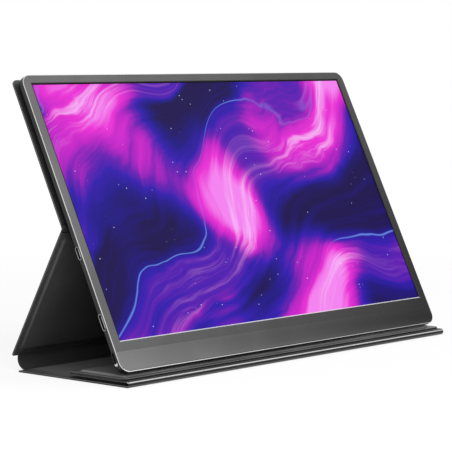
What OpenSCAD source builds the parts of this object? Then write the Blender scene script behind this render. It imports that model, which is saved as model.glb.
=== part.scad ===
// Slim portable monitor held by magnets in a folding cover that is also its stand.
// X runs across the screen, Y from front to back and Z up. Millimetres.
// The origin is on the table, at the middle of the footprint.

/* [Screen] */
// Width of the lit picture
screen_w = 344.2; // [250:0.1:380]
// Height of the lit picture
screen_h = 193.6; // [150:0.1:240]
// Frame left and right of the picture
side_bezel = 7.9; // [6:0.1:14]
// Frame above the picture
top_bezel = 6.7; // [4:0.1:14]
// Frame below the picture
chin_h = 22.9; // [20:0.1:34]
// Height of the lighter band along the bottom of the chin
chin_band_h = 15.4; // [12:0.1:18]

/* [Monitor body] */
// Thickness from the front face to the back
monitor_depth = 7.1; // [6.9:0.1:10]
// Depth of the straight side wall
side_depth = 4.8; // [4.6:0.1:6]
// Thickness of the front frame
frame_t = 1.0; // [0.8:0.1:1.4]
// Wall of the side frame
side_wall = 1.2; // [0.8:0.1:1.6]
// Wall of the rear shell
shell_wall = 0.8; // [0.6:0.1:1]
// Width of the sloping border of the rear shell
shell_slope = 6; // [3:0.5:12]
// Corner radius of the monitor, seen from the front
corner_r = 8; // [4:0.5:14]
// Polished chamfer round the front face
edge_chamfer = 0.6; // [0.3:0.1:0.9]
// Chamfer round the picture opening
window_chamfer = 0.5; // [0.2:0.1:0.8]
// Thickness of the chin band
chin_band_t = 0.4; // [0.3:0.05:0.6]
// Thickness of the screen glass
glass_t = 0.7; // [0.5:0.1:0.9]
// Thickness of the light guide
guide_t = 0.5; // [0.4:0.1:0.7]
// Thickness of the steel tray behind the light guide
tray_t = 0.3; // [0.2:0.1:0.5]
// Border of the screen stack outside the lit picture
stack_border = 1.2; // [1:0.1:4]
// Thickness of the circuit boards
board_t = 0.6; // [0.4:0.1:0.8]
// Length of the main board across the monitor
main_board_l = 70; // [60:1:110]
// Length of the driver board in the chin
driver_board_l = 208; // [160:1:250]
// Length of the speaker boxes
speaker_l = 42; // [24:1:50]
// Height of the speaker boxes
speaker_h = 11; // [10:0.5:14]

/* [Ports and buttons] */
// Depth of the ports' centre line behind the front face
port_depth = 3.1; // [2.9:0.05:3.3]
// Height of the centre of the USB-C port on the left side
usb_v = 89; // [60:1:120]
// Length of the USB-C port
usb_l = 9.0; // [8.4:0.1:9.6]
// Height of the centre of the mini-HDMI port on the left side
hdmi_v = 38; // [30:1:50]
// Length of the mini-HDMI port
hdmi_l = 11.6; // [10.4:0.1:12.4]
// Thickness of the port openings
port_t = 2.6; // [2.2:0.1:2.8]
// Height of the centre of the speaker slots
speaker_v = 11.5; // [11:0.5:13]
// Length of the speaker slots
speaker_slot_l = 8.5; // [6:0.5:9]
// Width of the speaker slots
speaker_slot_t = 1.8; // [1.2:0.1:2.2]
// Radius of the headphone socket
jack_r = 1.75; // [1.25:0.05:1.75]
// Height of the headphone socket on the right side
jack_v = 30; // [26:1:40]
// Height of the power button on the right side
power_v = 50; // [46:1:56]
// Length of the power button
power_l = 8; // [5:0.5:9]
// Height of the menu rocker on the right side
rocker_v = 68; // [66:1:80]
// Length of the menu rocker
rocker_l = 16; // [12:0.5:18]
// Height of the buttons across the side wall
button_t = 2.0; // [1.4:0.1:2.4]
// How far the buttons stand proud
button_proud = 0.6; // [0.4:0.1:0.8]
// Travel of the buttons
button_travel = 0.4; // [0.2:0.1:0.5]

/* [Cover] */
// Width of the cover
cover_w = 362; // [356:0.5:400]
// Thickness of the outer skin
skin_t = 0.6; // [0.4:0.1:0.8]
// Thickness of the inner lining
lining_t = 0.6; // [0.4:0.1:0.8]
// How far the stiff boards lift the lining
board_rise = 1.1; // [0.9:0.1:1.6]
// Flat border of each panel, where skin and lining are bonded
flange_w = 4; // [2.5:0.5:6]
// Width of the slope from the border up to the raised middle
slope_w = 2.5; // [1:0.5:4]
// Radius of the cover's outer corners
cover_corner_r = 4; // [2:0.5:8]
// Radius of the panels' corners at the free edges of the stand
foot_corner_r = 1.5; // [0.8:0.1:3]
// Radius of the panels' corners beside a fold
fold_corner_r = 0.6; // [0.3:0.1:1]
// Air between folded layers
layer_gap = 0.1; // [0.05:0.05:0.3]
// Half the soft strip between the two panels of the stand
crease_half = 2.5; // [1.5:0.5:4]
// How far the spine strip reaches in over the edges of the two panels that it joins
spine_reach = 2; // [1:0.1:3.5]
// Thickness of the spine strip
spine_t = 1.0; // [0.6:0.1:1.1]

/* [Stand] */
// Lean of the screen, from the table
tilt = 63.8; // [55:0.1:70]
// Lean of the support panel, from the table
lean = 60.8; // [55:0.1:66]
// Height on the monitor at which the cover folds back
fold_v = 110.2; // [90:1:130]
// Height of the support panel's lower edge above the table
foot_h = 11.4; // [10:0.1:13]
// How far the support panel's lower edge overhangs the base
foot_overhang = 6.6; // [5:0.1:8]
// How far the front roll stands before the monitor
roll_front = 7.2; // [5:0.1:12]
// Length of the first flap
flap_1_len = 54.8; // [45:0.1:60]
// Length of the second flap
flap_2_len = 52.9; // [40:0.1:54]
// Clearance under the monitor's lower edge
foot_clearance = 0.35; // [0.3:0.05:0.6]
// Clearance between the monitor and the cover that holds it
magnet_clearance = 0.3; // [0.1:0.05:0.5]

/* [Magnets] */
// Number of magnet bars in the upper panel
magnet_count = 6; // [4:2:8]
// Length of each magnet bar
magnet_l = 24; // [12:1:30]
// Width of each magnet bar
magnet_w = 8; // [5:1:12]
// Distance of the outer magnets' middles from the monitor's sides
magnet_side = 45; // [35:1:60]
// Distance of the magnets' middles from the upper panel's ends
magnet_end = 22; // [18:1:30]
// How far the steel latch plates reach past the magnets
latch_border = 2; // [1:0.5:4]
// Thickness of the latch plates
latch_t = 0.6; // [0.4:0.1:0.8]

/* [Hidden] */
$fn = 48;

// Clearance between pieces that are seated on each other
fit = 0.05;
// A sliver by which a cut passes a face
over = 0.5;
// A sliver by which joined solids run into each other
sink = 0.1;
// Air beside pieces inside the monitor that carry nothing
air = 0.2;
// Clearance of a button in its opening
button_gap = 0.2;
// Radius of the board panels' corners
card_corner_r = 1;

// Monitor, seen from the front: x across, v up from its lower edge, w behind the front face
mon_w = screen_w + 2 * side_bezel;
mon_h = chin_h + screen_h + top_bezel;
inner_x = mon_w / 2 - side_wall;
glass_w0 = frame_t + fit;
sheet_t = 0.2;
sheet_w0 = glass_w0 + glass_t + fit;
guide_w0 = sheet_w0 + sheet_t + fit;
tray_w0 = guide_w0 + guide_t + fit;
tray_w1 = tray_w0 + tray_t;
shell_in = monitor_depth - shell_wall;
stack_x = screen_w / 2 + stack_border;
stack_v0 = chin_h - stack_border;
stack_v1 = chin_h + screen_h + stack_border;
port_wall = 0.25;
port_set_in = 0.15;
port_body_t = port_t + 2 * port_wall;
port_w1 = port_depth + port_body_t / 2;
board_w0 = port_w1 + fit;
board_w1 = board_w0 + board_t;
port_len = side_bezel - stack_border - port_set_in - air;
chip_t = shell_in - board_w1 - air;

// Cover panels, in thickness
flange_t = skin_t + lining_t;
panel_t = flange_t + board_rise;
card_t = board_rise - 2 * fit;
stack_top = 3 * panel_t + 2 * layer_gap;

// Side view of the stand, with Y counted from the monitor's front lower edge
mon_foot_z = stack_top + foot_clearance + side_depth * cos(tilt);
cover_w1 = monitor_depth + magnet_clearance + panel_t;
apex_y = fold_v * cos(tilt) + cover_w1 * sin(tilt);
apex_z = mon_foot_z + fold_v * sin(tilt) - cover_w1 * cos(tilt);
upper_len = mon_h - fold_v;
support_len = (apex_z - foot_h) / sin(lean);
foot_y = apex_y + support_len * cos(lean);
roll_r = panel_t + layer_gap / 2;
base_front = roll_r + fit - roll_front;
base_rear = foot_y - foot_overhang;
base_len = base_rear - base_front;
flap_bend_y = base_front + flap_1_len;
flap_bend_z = 2 * panel_t + 1.5 * layer_gap;
mid_y = (foot_y - roll_front) / 2;

// Ends of the spine strip, at the middle of the boards' edges
spine_mid = flange_t + board_rise / 2;
spine_a = [
  foot_y - spine_reach * cos(lean) - spine_mid * sin(lean),
  foot_h + spine_reach * sin(lean) - spine_mid * cos(lean)
];
spine_b = [base_rear - spine_reach, spine_mid];
spine_chord = norm(spine_b - spine_a);
spine_turn = 180 - lean;
spine_r = spine_chord / 2 / sin(spine_turn / 2);
spine_dir = atan2(spine_b[1] - spine_a[1], spine_b[0] - spine_a[0]);
spine_c = (spine_a + spine_b) / 2
  + spine_r * cos(spine_turn / 2) * [cos(spine_dir - 90), sin(spine_dir - 90)];

// Colours
dark_metal = [0.30, 0.30, 0.31];
chin_metal = [0.36, 0.36, 0.37];
polished = [0.75, 0.75, 0.76];
leather = [0.13, 0.13, 0.13];
card = [0.55, 0.50, 0.42];
board_green = [0.05, 0.30, 0.16];

// Points on an arc about c, from angle a0 to a1
function arc(c, r, a0, a1, n = 12) = [
  for (i = [0:n]) let (a = a0 + (a1 - a0) * i / n) c + r * [cos(a), sin(a)]
];

// Rectangle from y0 to y1 with its own corner radius at each end
module plate_2d(w, y0, y1, ra, rb) {
  translate([-w / 2, y0 + ra]) square([w, y1 - y0 - ra - rb]);
  translate([-w / 2 + ra, y0]) square([w - 2 * ra, ra + 0.01]);
  translate([-w / 2 + rb, y1 - rb - 0.01]) square([w - 2 * rb, rb + 0.01]);
  for (side = [-1, 1]) {
    translate([side * (w / 2 - ra), y0 + ra]) circle(ra);
    translate([side * (w / 2 - rb), y1 - rb]) circle(rb);
  }
}

// A flat layer of the monitor between two depths behind the front face
module layer(w0, w1) {
  translate([0, 0, -w1]) linear_extrude(w1 - w0) children();
}

// The monitor's outline, drawn in by inset
module monitor_2d(inset) {
  plate_2d(mon_w - 2 * inset, inset, mon_h - inset, corner_r - inset, corner_r - inset);
}

// A layer whose outline narrows from one inset to another
module tapered(w0, inset0, w1, inset1) {
  hull() {
    layer(w0, w0 + 0.01) monitor_2d(inset0);
    layer(w1 - 0.01, w1) monitor_2d(inset1);
  }
}

// A block of the monitor, given by its ranges in x, v and w
module block(x0, x1, v0, v1, w0, w1) {
  translate([x0, v0, -w1]) cube([x1 - x0, v1 - v0, w1 - w0]);
}

// A slot with round ends through a side wall, in the plane of v and w
module side_slot(side, v, length, thick) {
  translate([side * mon_w / 2, v, -port_depth]) rotate([0, 90, 0])
    linear_extrude(2 * side_wall + 2 * over, center = true)
      slot_2d(thick, length);
}

module slot_2d(thick, length) {
  square([thick, length - thick], center = true);
  for (end = [-1, 1]) translate([0, end * (length - thick) / 2]) circle(thick / 2);
}

// Moves a monitor piece from its front view to its place on the stand
module on_stand() {
  translate([0, -mid_y, mon_foot_z]) rotate([tilt, 0, 0]) children();
}

// Moves a side view in Y and Z to a solid across the whole cover
module across(width) {
  translate([0, -mid_y, 0]) rotate([90, 0, 90]) linear_extrude(width, center = true) children();
}

// Places of the five panels: y runs along the panel and z from its outer face to its inner face
module at_upper() {
  on_stand() translate([0, fold_v, -cover_w1]) children();
}
module at_support() {
  translate([0, apex_y - mid_y, apex_z]) rotate([-lean, 0, 0]) mirror([0, 0, 1]) children();
}
module at_base() {
  translate([0, base_front - mid_y, 0]) children();
}
module at_flap_1() {
  translate([0, base_front - mid_y, 2 * panel_t + layer_gap]) mirror([0, 0, 1]) children();
}
module at_flap_2() {
  translate([0, flap_bend_y - flap_2_len - mid_y, 2 * panel_t + 2 * layer_gap]) children();
}

// The three layers of one panel, from y0 to y1, with a corner radius at each end
module panel_skin(y0, y1, ra, rb) {
  color(leather) linear_extrude(skin_t) plate_2d(cover_w, y0, y1, ra, rb);
}
module panel_board(y0, y1) {
  inset = flange_w + slope_w + fit;
  color(card) translate([0, 0, skin_t + fit]) linear_extrude(card_t)
    plate_2d(cover_w - 2 * inset, y0 + inset, y1 - inset, card_corner_r, card_corner_r);
}
module panel_lining(y0, y1, ra, rb) {
  inner = flange_w + slope_w;
  color(leather) difference() {
    union() {
      translate([0, 0, skin_t + fit]) linear_extrude(lining_t - fit) plate_2d(cover_w, y0, y1, ra, rb);
      hull() {
        translate([0, 0, flange_t - sink]) linear_extrude(sink)
          plate_2d(cover_w - 2 * flange_w, y0 + flange_w, y1 - flange_w,
            card_corner_r, card_corner_r, $fn = 24);
        translate([0, 0, panel_t - 0.01]) linear_extrude(0.01)
          plate_2d(cover_w - 2 * inner, y0 + inner, y1 - inner, card_corner_r, card_corner_r, $fn = 24);
      }
    }
    translate([0, 0, -over]) linear_extrude(over + skin_t + board_rise)
      plate_2d(cover_w - 2 * inner, y0 + inner, y1 - inner, card_corner_r, card_corner_r);
  }
}

// Front frame: a plate with a chamfered rim and the picture opening
module front_frame() {
  color(dark_metal) on_stand() difference() {
    hull() {
      layer(0, 0.01) monitor_2d(edge_chamfer);
      layer(edge_chamfer, frame_t) monitor_2d(0);
    }
    block(-screen_w / 2, screen_w / 2, chin_h, chin_h + screen_h, -over, frame_t + over);
    hull() {
      block(-screen_w / 2, screen_w / 2, chin_h, chin_h + screen_h, window_chamfer, window_chamfer + 0.01);
      block(-screen_w / 2 - window_chamfer, screen_w / 2 + window_chamfer,
        chin_h - window_chamfer, chin_h + screen_h + window_chamfer, -0.01, 0);
    }
    layer(-over, chin_band_t + fit) chin_band_2d(0);
  }
}

// Outline of the chin band inside the chamfered rim
band_set_in = 0.2;
module chin_band_2d(gap) {
  intersection() {
    monitor_2d(edge_chamfer + band_set_in + gap);
    translate([-mon_w / 2, 0]) square([mon_w, chin_band_h - gap]);
  }
}

module chin_band() {
  color(chin_metal) on_stand() layer(0, chin_band_t) chin_band_2d(fit);
}

// Side frame: the ring that forms the monitor's edge, with its port and button openings
module side_frame() {
  color(dark_metal * 0.8) on_stand() difference() {
    layer(frame_t + fit, side_depth) monitor_2d(0);
    layer(0, side_depth + over) monitor_2d(side_wall);
    side_slot(-1, usb_v, usb_l + 2 * port_wall + 2 * fit, port_body_t + 2 * fit);
    side_slot(-1, hdmi_v, hdmi_l + 2 * port_wall + 2 * fit, port_body_t + 2 * fit);
    for (side = [-1, 1]) side_slot(side, speaker_v, speaker_slot_l, speaker_slot_t);
    side_slot(1, power_v, power_l + 2 * button_gap, button_t + 2 * button_gap);
    side_slot(1, rocker_v, rocker_l + 2 * button_gap, button_t + 2 * button_gap);
    translate([mon_w / 2, jack_v, -port_depth]) rotate([0, 90, 0])
      cylinder(r = jack_r, h = 2 * side_wall + 2 * over, center = true);
  }
}

// Rear shell: a shallow pan with a sloping border
module rear_shell() {
  rim = 0.3;
  color(dark_metal * 0.7) on_stand() difference() {
    tapered(side_depth + fit, rim, monitor_depth, shell_slope);
    tapered(side_depth - over, rim + shell_wall, shell_in, shell_slope + shell_wall);
  }
}

module screen_glass() {
  color([0.10, 0.04, 0.35]) on_stand()
    block(-stack_x, stack_x, stack_v0, stack_v1, glass_w0, glass_w0 + glass_t);
}

module diffuser_sheet() {
  color("white") on_stand()
    block(-stack_x, stack_x, stack_v0, stack_v1, sheet_w0, sheet_w0 + sheet_t);
}

// Light guide, which ends above the row of lamps
led_strip_h = 1.4;
module light_guide() {
  color([0.85, 0.92, 0.95]) on_stand()
    block(-stack_x, stack_x, stack_v0 + led_strip_h, stack_v1, guide_w0, guide_w0 + guide_t);
}

// Row of lamps on a strip along the light guide's lower edge
module led_bar() {
  pitch = 8.6;
  lamp_l = 3.6;
  strip_h = 0.5;
  strip_x = stack_x - 1;
  count = floor((2 * strip_x - lamp_l) / pitch);
  color("gold") on_stand() {
    block(-strip_x, strip_x, stack_v0, stack_v0 + strip_h, guide_w0, guide_w0 + guide_t);
    for (i = [0:count]) translate([(i - count / 2) * pitch, 0, 0])
      block(-lamp_l / 2, lamp_l / 2, stack_v0 + strip_h - sink, stack_v0 + led_strip_h - fit,
        guide_w0 + fit, guide_w0 + guide_t - fit);
  }
}

// Steel tray behind the light guide, with the standoffs of the main board
module back_tray() {
  color("silver") on_stand() {
    difference() {
      union() {
        block(-stack_x, stack_x, stack_v0, stack_v1, tray_w0, tray_w1);
        for (p = screw_places) translate([p[0], p[1], -(board_w0 - fit)])
          cylinder(r = standoff_r, h = board_w0 - fit - tray_w1 + sink);
      }
      for (p = screw_places) translate([p[0], p[1], -board_w0 - over])
        cylinder(r = screw_r + fit, h = board_w0 + over - tray_w1);
    }
  }
}

// Boards. The main board lies behind the tray at the left, next to the ports.
main_x0 = -mon_w / 2 + 4.6;
main_x1 = main_x0 + main_board_l;
main_v0 = hdmi_v - 14;
main_v1 = usb_v + 16;
screw_inset = 11;
screw_margin = 4;
screw_r = 0.55;
screw_head_r = 1.6;
screw_hole_r = 0.9;
standoff_r = 2;
screw_places = [
  for (x = [main_x0 + screw_inset, main_x1 - screw_margin])
    for (v = [main_v0 + screw_margin, main_v1 - screw_margin]) [x, v]
];
module main_board() {
  port_chip_x = main_x0 + 25;
  main_chip_x = main_x0 + 45;
  // Middle in x and v, width and height of each chip: processor, memory, one beside each port, power
  chips = [
    [main_chip_x, (main_v0 + main_v1) / 2, 14, 14],
    [main_chip_x, main_v1 - 21, 9, 9],
    [port_chip_x, usb_v, 6, 5],
    [port_chip_x, hdmi_v, 5, 6],
    [main_x1 - 13, main_v0 + 20, 8, 6]
  ];
  color(board_green) on_stand() difference() {
    union() {
      block(main_x0, main_x1, main_v0, main_v1, board_w0, board_w1);
      for (c = chips) translate([c[0], c[1], 0])
        block(-c[2] / 2, c[2] / 2, -c[3] / 2, c[3] / 2, board_w1 - sink, board_w1 + chip_t);
    }
    for (p = screw_places) translate([p[0], p[1], -board_w1 - over])
      cylinder(r = screw_hole_r, h = board_t + 2 * over);
  }
}

module board_screws() {
  head_t = 0.5;
  color("silver") on_stand() for (p = screw_places) translate([p[0], p[1], 0]) {
    translate([0, 0, -board_w1 - fit - head_t]) cylinder(r = screw_head_r, h = head_t);
    translate([0, 0, -board_w1 - fit - sink]) cylinder(r = screw_r, h = board_w1 + fit - tray_w1);
  }
}

// Shell of a port: a tube with a flat section and a tongue inside
module port_shell(v, length) {
  back_t = 0.6;
  tongue_t = 0.7;
  tongue_side = 1.6;
  tongue_set_in = 1.2;
  x0 = -mon_w / 2 + port_set_in;
  color(polished) on_stand() {
    translate([x0, v, -port_depth]) rotate([0, 90, 0]) difference() {
      linear_extrude(port_len) slot_2d(port_body_t, length + 2 * port_wall);
      translate([0, 0, -over]) linear_extrude(port_len + over - back_t) slot_2d(port_t, length);
    }
    block(x0 + tongue_set_in, x0 + port_len - back_t + sink, v - length / 2 + tongue_side,
      v + length / 2 - tongue_side, port_depth - tongue_t / 2, port_depth + tongue_t / 2);
  }
}
module usb_c_port() {
  port_shell(usb_v, usb_l);
}
module mini_hdmi_port() {
  port_shell(hdmi_v, hdmi_l);
}

// Headphone socket: a block with a true bore
module headphone_jack() {
  half_h = 3;
  x1 = mon_w / 2 - side_wall - fit;
  jack_len = side_bezel - stack_border - side_wall - 2 * fit;
  color([0.08, 0.08, 0.08]) on_stand() difference() {
    block(x1 - jack_len, x1, jack_v - half_h, jack_v + half_h, frame_t + fit, side_depth - air - sink);
    translate([x1 - jack_len - over, jack_v, -port_depth]) rotate([0, 90, 0])
      cylinder(r = jack_r, h = jack_len + 2 * over);
  }
}

// Speaker box behind the chin, open towards its slot
module speaker(side) {
  set_in = 1.5;
  mouth_l = 8;
  mouth_t = speaker_slot_t - air;
  mouth_h = speaker_slot_l - 3 * air;
  x1 = inner_x - set_in;
  color([0.12, 0.12, 0.12]) on_stand() mirror([side < 0 ? 1 : 0, 0, 0]) difference() {
    block(x1 - speaker_l, x1, speaker_v - speaker_h / 2, speaker_v + speaker_h / 2,
      frame_t + fit, side_depth - 2 * fit);
    block(x1 - mouth_l, x1 + over, speaker_v - mouth_h / 2, speaker_v + mouth_h / 2,
      port_depth - mouth_t / 2, port_depth + mouth_t / 2);
  }
}
module left_speaker() {
  speaker(-1);
}
module right_speaker() {
  speaker(1);
}

// Driver board in the chin, with its chips, and the ribbons that join it to the glass
driver_w0 = tray_w1 + fit;
driver_v0 = speaker_v - speaker_h / 2;
driver_v1 = stack_v0 - 1;
module driver_board() {
  count = 5;
  chip_l = 14;
  chip_h = 6;
  chip_rise = 0.9;
  pitch = driver_board_l / count;
  chip_v = (driver_v0 + driver_v1 - chip_h) / 2;
  color(board_green) on_stand() {
    block(-driver_board_l / 2, driver_board_l / 2, driver_v0, driver_v1, driver_w0, driver_w0 + board_t);
    for (i = [0:count - 1]) translate([(i - (count - 1) / 2) * pitch, 0, 0])
      block(-chip_l / 2, chip_l / 2, chip_v, chip_v + chip_h,
        driver_w0 + board_t - sink, driver_w0 + board_t + chip_rise);
  }
}
module screen_flex() {
  count = 4;
  ribbon_w = 22;
  ribbon_t = 0.15;
  overlap = 4;
  pitch = driver_board_l / count;
  v1 = stack_v0 - air - fit;
  color("orange") on_stand() for (i = [0:count - 1]) translate([(i - (count - 1) / 2) * pitch, 0, 0]) {
    block(-ribbon_w / 2, ribbon_w / 2, v1 - ribbon_t, v1, glass_w0, driver_w0 - fit);
    block(-ribbon_w / 2, ribbon_w / 2, v1 - ribbon_t, stack_v0 - fit, glass_w0, glass_w0 + ribbon_t);
    block(-ribbon_w / 2, ribbon_w / 2, driver_v1 - overlap, v1, driver_w0 - fit - ribbon_t, driver_w0 - fit);
  }
}

// Buttons on the right side, and the small board that carries their switches
button_foot_t = 1.6;
lip_half_t = 1.5;
switch_x = inner_x - button_foot_t;
module button_board() {
  margin = 2;
  switch_half = 1.5;
  switch_half_t = 1;
  x0 = stack_x + air + 2 * fit;
  color(board_green) on_stand() {
    block(x0, x0 + board_t, power_v - power_l / 2 - margin, rocker_v + rocker_l / 2 + margin,
      port_depth - lip_half_t, port_depth + lip_half_t);
    for (v = [power_v, rocker_v - rocker_l / 3, rocker_v + rocker_l / 3])
      block(x0 + board_t - sink, switch_x, v - switch_half, v + switch_half,
        port_depth - switch_half_t, port_depth + switch_half_t);
  }
}
module side_button(v, length, lip, lip_gap) {
  x0 = switch_x + button_travel + sink;
  color(dark_metal) on_stand() {
    translate([x0, v, -port_depth]) rotate([0, 90, 0])
      linear_extrude(mon_w / 2 + button_proud - x0) slot_2d(button_t, length);
    block(x0, inner_x - lip_gap, v - lip, v + lip, port_depth - lip_half_t, port_depth + lip_half_t);
  }
}
module power_button() {
  lip_reach = 0.8;
  side_button(power_v, power_l, power_l / 2 + lip_reach, 3 * fit);
}
module menu_rocker() {
  pivot_reach = 3;
  rock_gap = 0.45;
  side_button(rocker_v, rocker_l, rocker_l / 2 - pivot_reach, rock_gap);
}

// Magnet bars in the upper panel's board, and the steel plates that they hold, inside the rear shell
magnet_places = [
  for (i = [0:magnet_count / 2 - 1]) for (v = [magnet_end, upper_len - magnet_end])
    [(i / (magnet_count / 2 - 1) - 0.5) * (mon_w - 2 * magnet_side), v]
];
module magnets() {
  color("silver") at_upper() for (p = magnet_places)
    translate([p[0] - magnet_l / 2, p[1] - magnet_w / 2, skin_t + fit]) cube([magnet_l, magnet_w, card_t]);
}
module latch_plates() {
  color("gray") on_stand() for (p = magnet_places)
    block(p[0] - magnet_l / 2 - latch_border, p[0] + magnet_l / 2 + latch_border,
      fold_v + p[1] - magnet_w / 2 - latch_border, fold_v + p[1] + magnet_w / 2 + latch_border,
      shell_in - latch_t, shell_in - fit);
}

// Upper panel, which holds the monitor
module upper_skin() {
  at_upper() panel_skin(crease_half, upper_len, fold_corner_r, cover_corner_r);
}
module upper_board() {
  difference() {
    at_upper() panel_board(crease_half, upper_len);
    at_upper() for (p = magnet_places)
      translate([p[0] - magnet_l / 2 - fit, p[1] - magnet_w / 2 - fit, 0])
        cube([magnet_l + 2 * fit, magnet_w + 2 * fit, panel_t]);
  }
}
module upper_lining() {
  at_upper() panel_lining(crease_half, upper_len, fold_corner_r, cover_corner_r);
}

// Support panel, which carries the fold from behind
module support_skin() {
  at_support() panel_skin(crease_half, support_len, fold_corner_r, foot_corner_r);
}
module support_board() {
  at_support() panel_board(crease_half, support_len);
}
module support_lining() {
  at_support() panel_lining(crease_half, support_len, fold_corner_r, foot_corner_r);
}

// Base panel, which lies on the table
module base_skin() {
  at_base() panel_skin(0, base_len, fold_corner_r, foot_corner_r);
}
module base_board() {
  at_base() panel_board(0, base_len);
}
module base_lining() {
  at_base() panel_lining(0, base_len, fold_corner_r, foot_corner_r);
}

// First flap, folded back over the base, inner face down
module flap_1_skin() {
  at_flap_1() panel_skin(0, flap_1_len, fold_corner_r, fold_corner_r);
}
module flap_1_board() {
  at_flap_1() panel_board(0, flap_1_len);
}
module flap_1_lining() {
  at_flap_1() panel_lining(0, flap_1_len, fold_corner_r, fold_corner_r);
}

// Second flap, folded forward again, inner face up
module flap_2_skin() {
  at_flap_2() panel_skin(0, flap_2_len, cover_corner_r, fold_corner_r);
}
module flap_2_board() {
  at_flap_2() panel_board(0, flap_2_len);
}
module flap_2_lining() {
  at_flap_2() panel_lining(0, flap_2_len, cover_corner_r, fold_corner_r);
}

// Soft strip at the fold between the upper and the support panel
module stand_crease() {
  apex = [apex_y, apex_z];
  up = [cos(tilt), sin(tilt)];
  down = [cos(lean), -sin(lean)];
  in_up = [-sin(tilt), cos(tilt)];
  in_down = [-sin(lean), -cos(lean)];
  reach = crease_half - fit;
  color(leather) across(cover_w) polygon(concat(
    [apex, apex + reach * down, apex + reach * down + flange_t * in_down],
    arc(apex, flange_t, 270 - lean, 90 + tilt, 8),
    [apex + reach * up + flange_t * in_up, apex + reach * up]
  ));
}

// Spine strip between the support panel and the base: an arc that leaves both tangentially
module spine_strip() {
  a0 = spine_dir + 90 + spine_turn / 2;
  trim_angle = 1;
  side_gap = flange_w + 1;
  color(leather) across(cover_w - 2 * side_gap) polygon(concat(
    arc(spine_c, spine_r + spine_t / 2, a0 - trim_angle, a0 - spine_turn + trim_angle, 20),
    arc(spine_c, spine_r - spine_t / 2, a0 - spine_turn + trim_angle, a0 - trim_angle, 20)
  ));
}

// Round bend at the front, from the base to the first flap
module front_crease() {
  color(leather) across(cover_w) difference() {
    translate([base_front - fit, roll_r]) circle(roll_r);
    translate([base_front - fit, roll_r]) circle(roll_r - flange_t);
    translate([base_front - fit, -over]) square([2 * roll_r, 2 * roll_r + 2 * over]);
  }
}

// Tight bend at the back, from the first flap to the second
module flap_crease() {
  color(leather) across(cover_w) difference() {
    translate([flap_bend_y + fit, flap_bend_z]) circle(flange_t + layer_gap / 2);
    translate([flap_bend_y + fit - 3 * flange_t, flap_bend_z - 2 * flange_t])
      square([3 * flange_t, 4 * flange_t]);
  }
}

front_frame();
chin_band();
side_frame();
rear_shell();
screen_glass();
diffuser_sheet();
light_guide();
led_bar();
back_tray();
driver_board();
screen_flex();
main_board();
usb_c_port();
mini_hdmi_port();
headphone_jack();
left_speaker();
right_speaker();
button_board();
power_button();
menu_rocker();
latch_plates();
board_screws();
upper_skin();
upper_board();
upper_lining();
magnets();
stand_crease();
support_skin();
support_board();
support_lining();
spine_strip();
base_skin();
base_board();
base_lining();
front_crease();
flap_1_skin();
flap_1_board();
flap_1_lining();
flap_crease();
flap_2_skin();
flap_2_board();
flap_2_lining();
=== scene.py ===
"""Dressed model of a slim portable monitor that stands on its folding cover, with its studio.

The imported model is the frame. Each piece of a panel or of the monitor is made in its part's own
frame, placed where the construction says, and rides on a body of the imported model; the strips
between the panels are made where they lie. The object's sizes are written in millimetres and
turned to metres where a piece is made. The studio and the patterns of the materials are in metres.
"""

import logging
import math
from dataclasses import dataclass, field, replace
from enum import Enum, IntEnum
from functools import cache, reduce

import bmesh
import bpy
from bmesh.types import BMesh, BMEdge, BMFace, BMVert
from bpy.types import Material, Mesh, Node, NodeSocket, Object, World
from mathutils import Matrix, Vector


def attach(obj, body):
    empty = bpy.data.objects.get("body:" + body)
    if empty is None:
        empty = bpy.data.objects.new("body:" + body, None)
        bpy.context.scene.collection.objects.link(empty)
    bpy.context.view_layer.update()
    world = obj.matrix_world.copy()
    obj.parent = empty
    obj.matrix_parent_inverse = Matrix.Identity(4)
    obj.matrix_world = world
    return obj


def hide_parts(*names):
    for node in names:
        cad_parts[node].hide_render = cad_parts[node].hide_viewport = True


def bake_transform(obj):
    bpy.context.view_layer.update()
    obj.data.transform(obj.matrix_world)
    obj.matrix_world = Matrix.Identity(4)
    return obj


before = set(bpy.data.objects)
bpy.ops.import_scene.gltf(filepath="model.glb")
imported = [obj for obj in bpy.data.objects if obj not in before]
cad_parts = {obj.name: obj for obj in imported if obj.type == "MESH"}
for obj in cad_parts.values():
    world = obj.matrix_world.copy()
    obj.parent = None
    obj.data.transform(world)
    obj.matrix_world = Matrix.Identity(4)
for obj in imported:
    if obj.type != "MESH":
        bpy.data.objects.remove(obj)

LOG = logging.getLogger("portable_monitor")
MM = 0.001
NEAR = 1e-4  # millimetres: heights closer than this are one
CREASE = 0.5  # radians: a blunter edge of a solid isn't rounded
SMOOTH_BELOW = 35.0  # degrees: a blunter edge is shaded away
HAIR = 0.001  # millimetres: slack on a height or a radius
SHARP_CORNER = 0.05  # millimetres: the least corner radius
MIRRORED = Matrix.Scale(-1.0, 4, (0.0, 0.0, 1.0))

Colour = tuple[float, float, float]
Spot = tuple[float, float, float]
Point = tuple[float, float]
Value = NodeSocket | tuple[float, ...] | float


def grey(level: float) -> Colour:
    """A neutral linear colour."""
    return (level, level, level)


def tint(colour: Colour, factor: float) -> Colour:
    """A colour made darker or lighter."""
    return tuple(c * factor for c in colour)


# Node graphs


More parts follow.
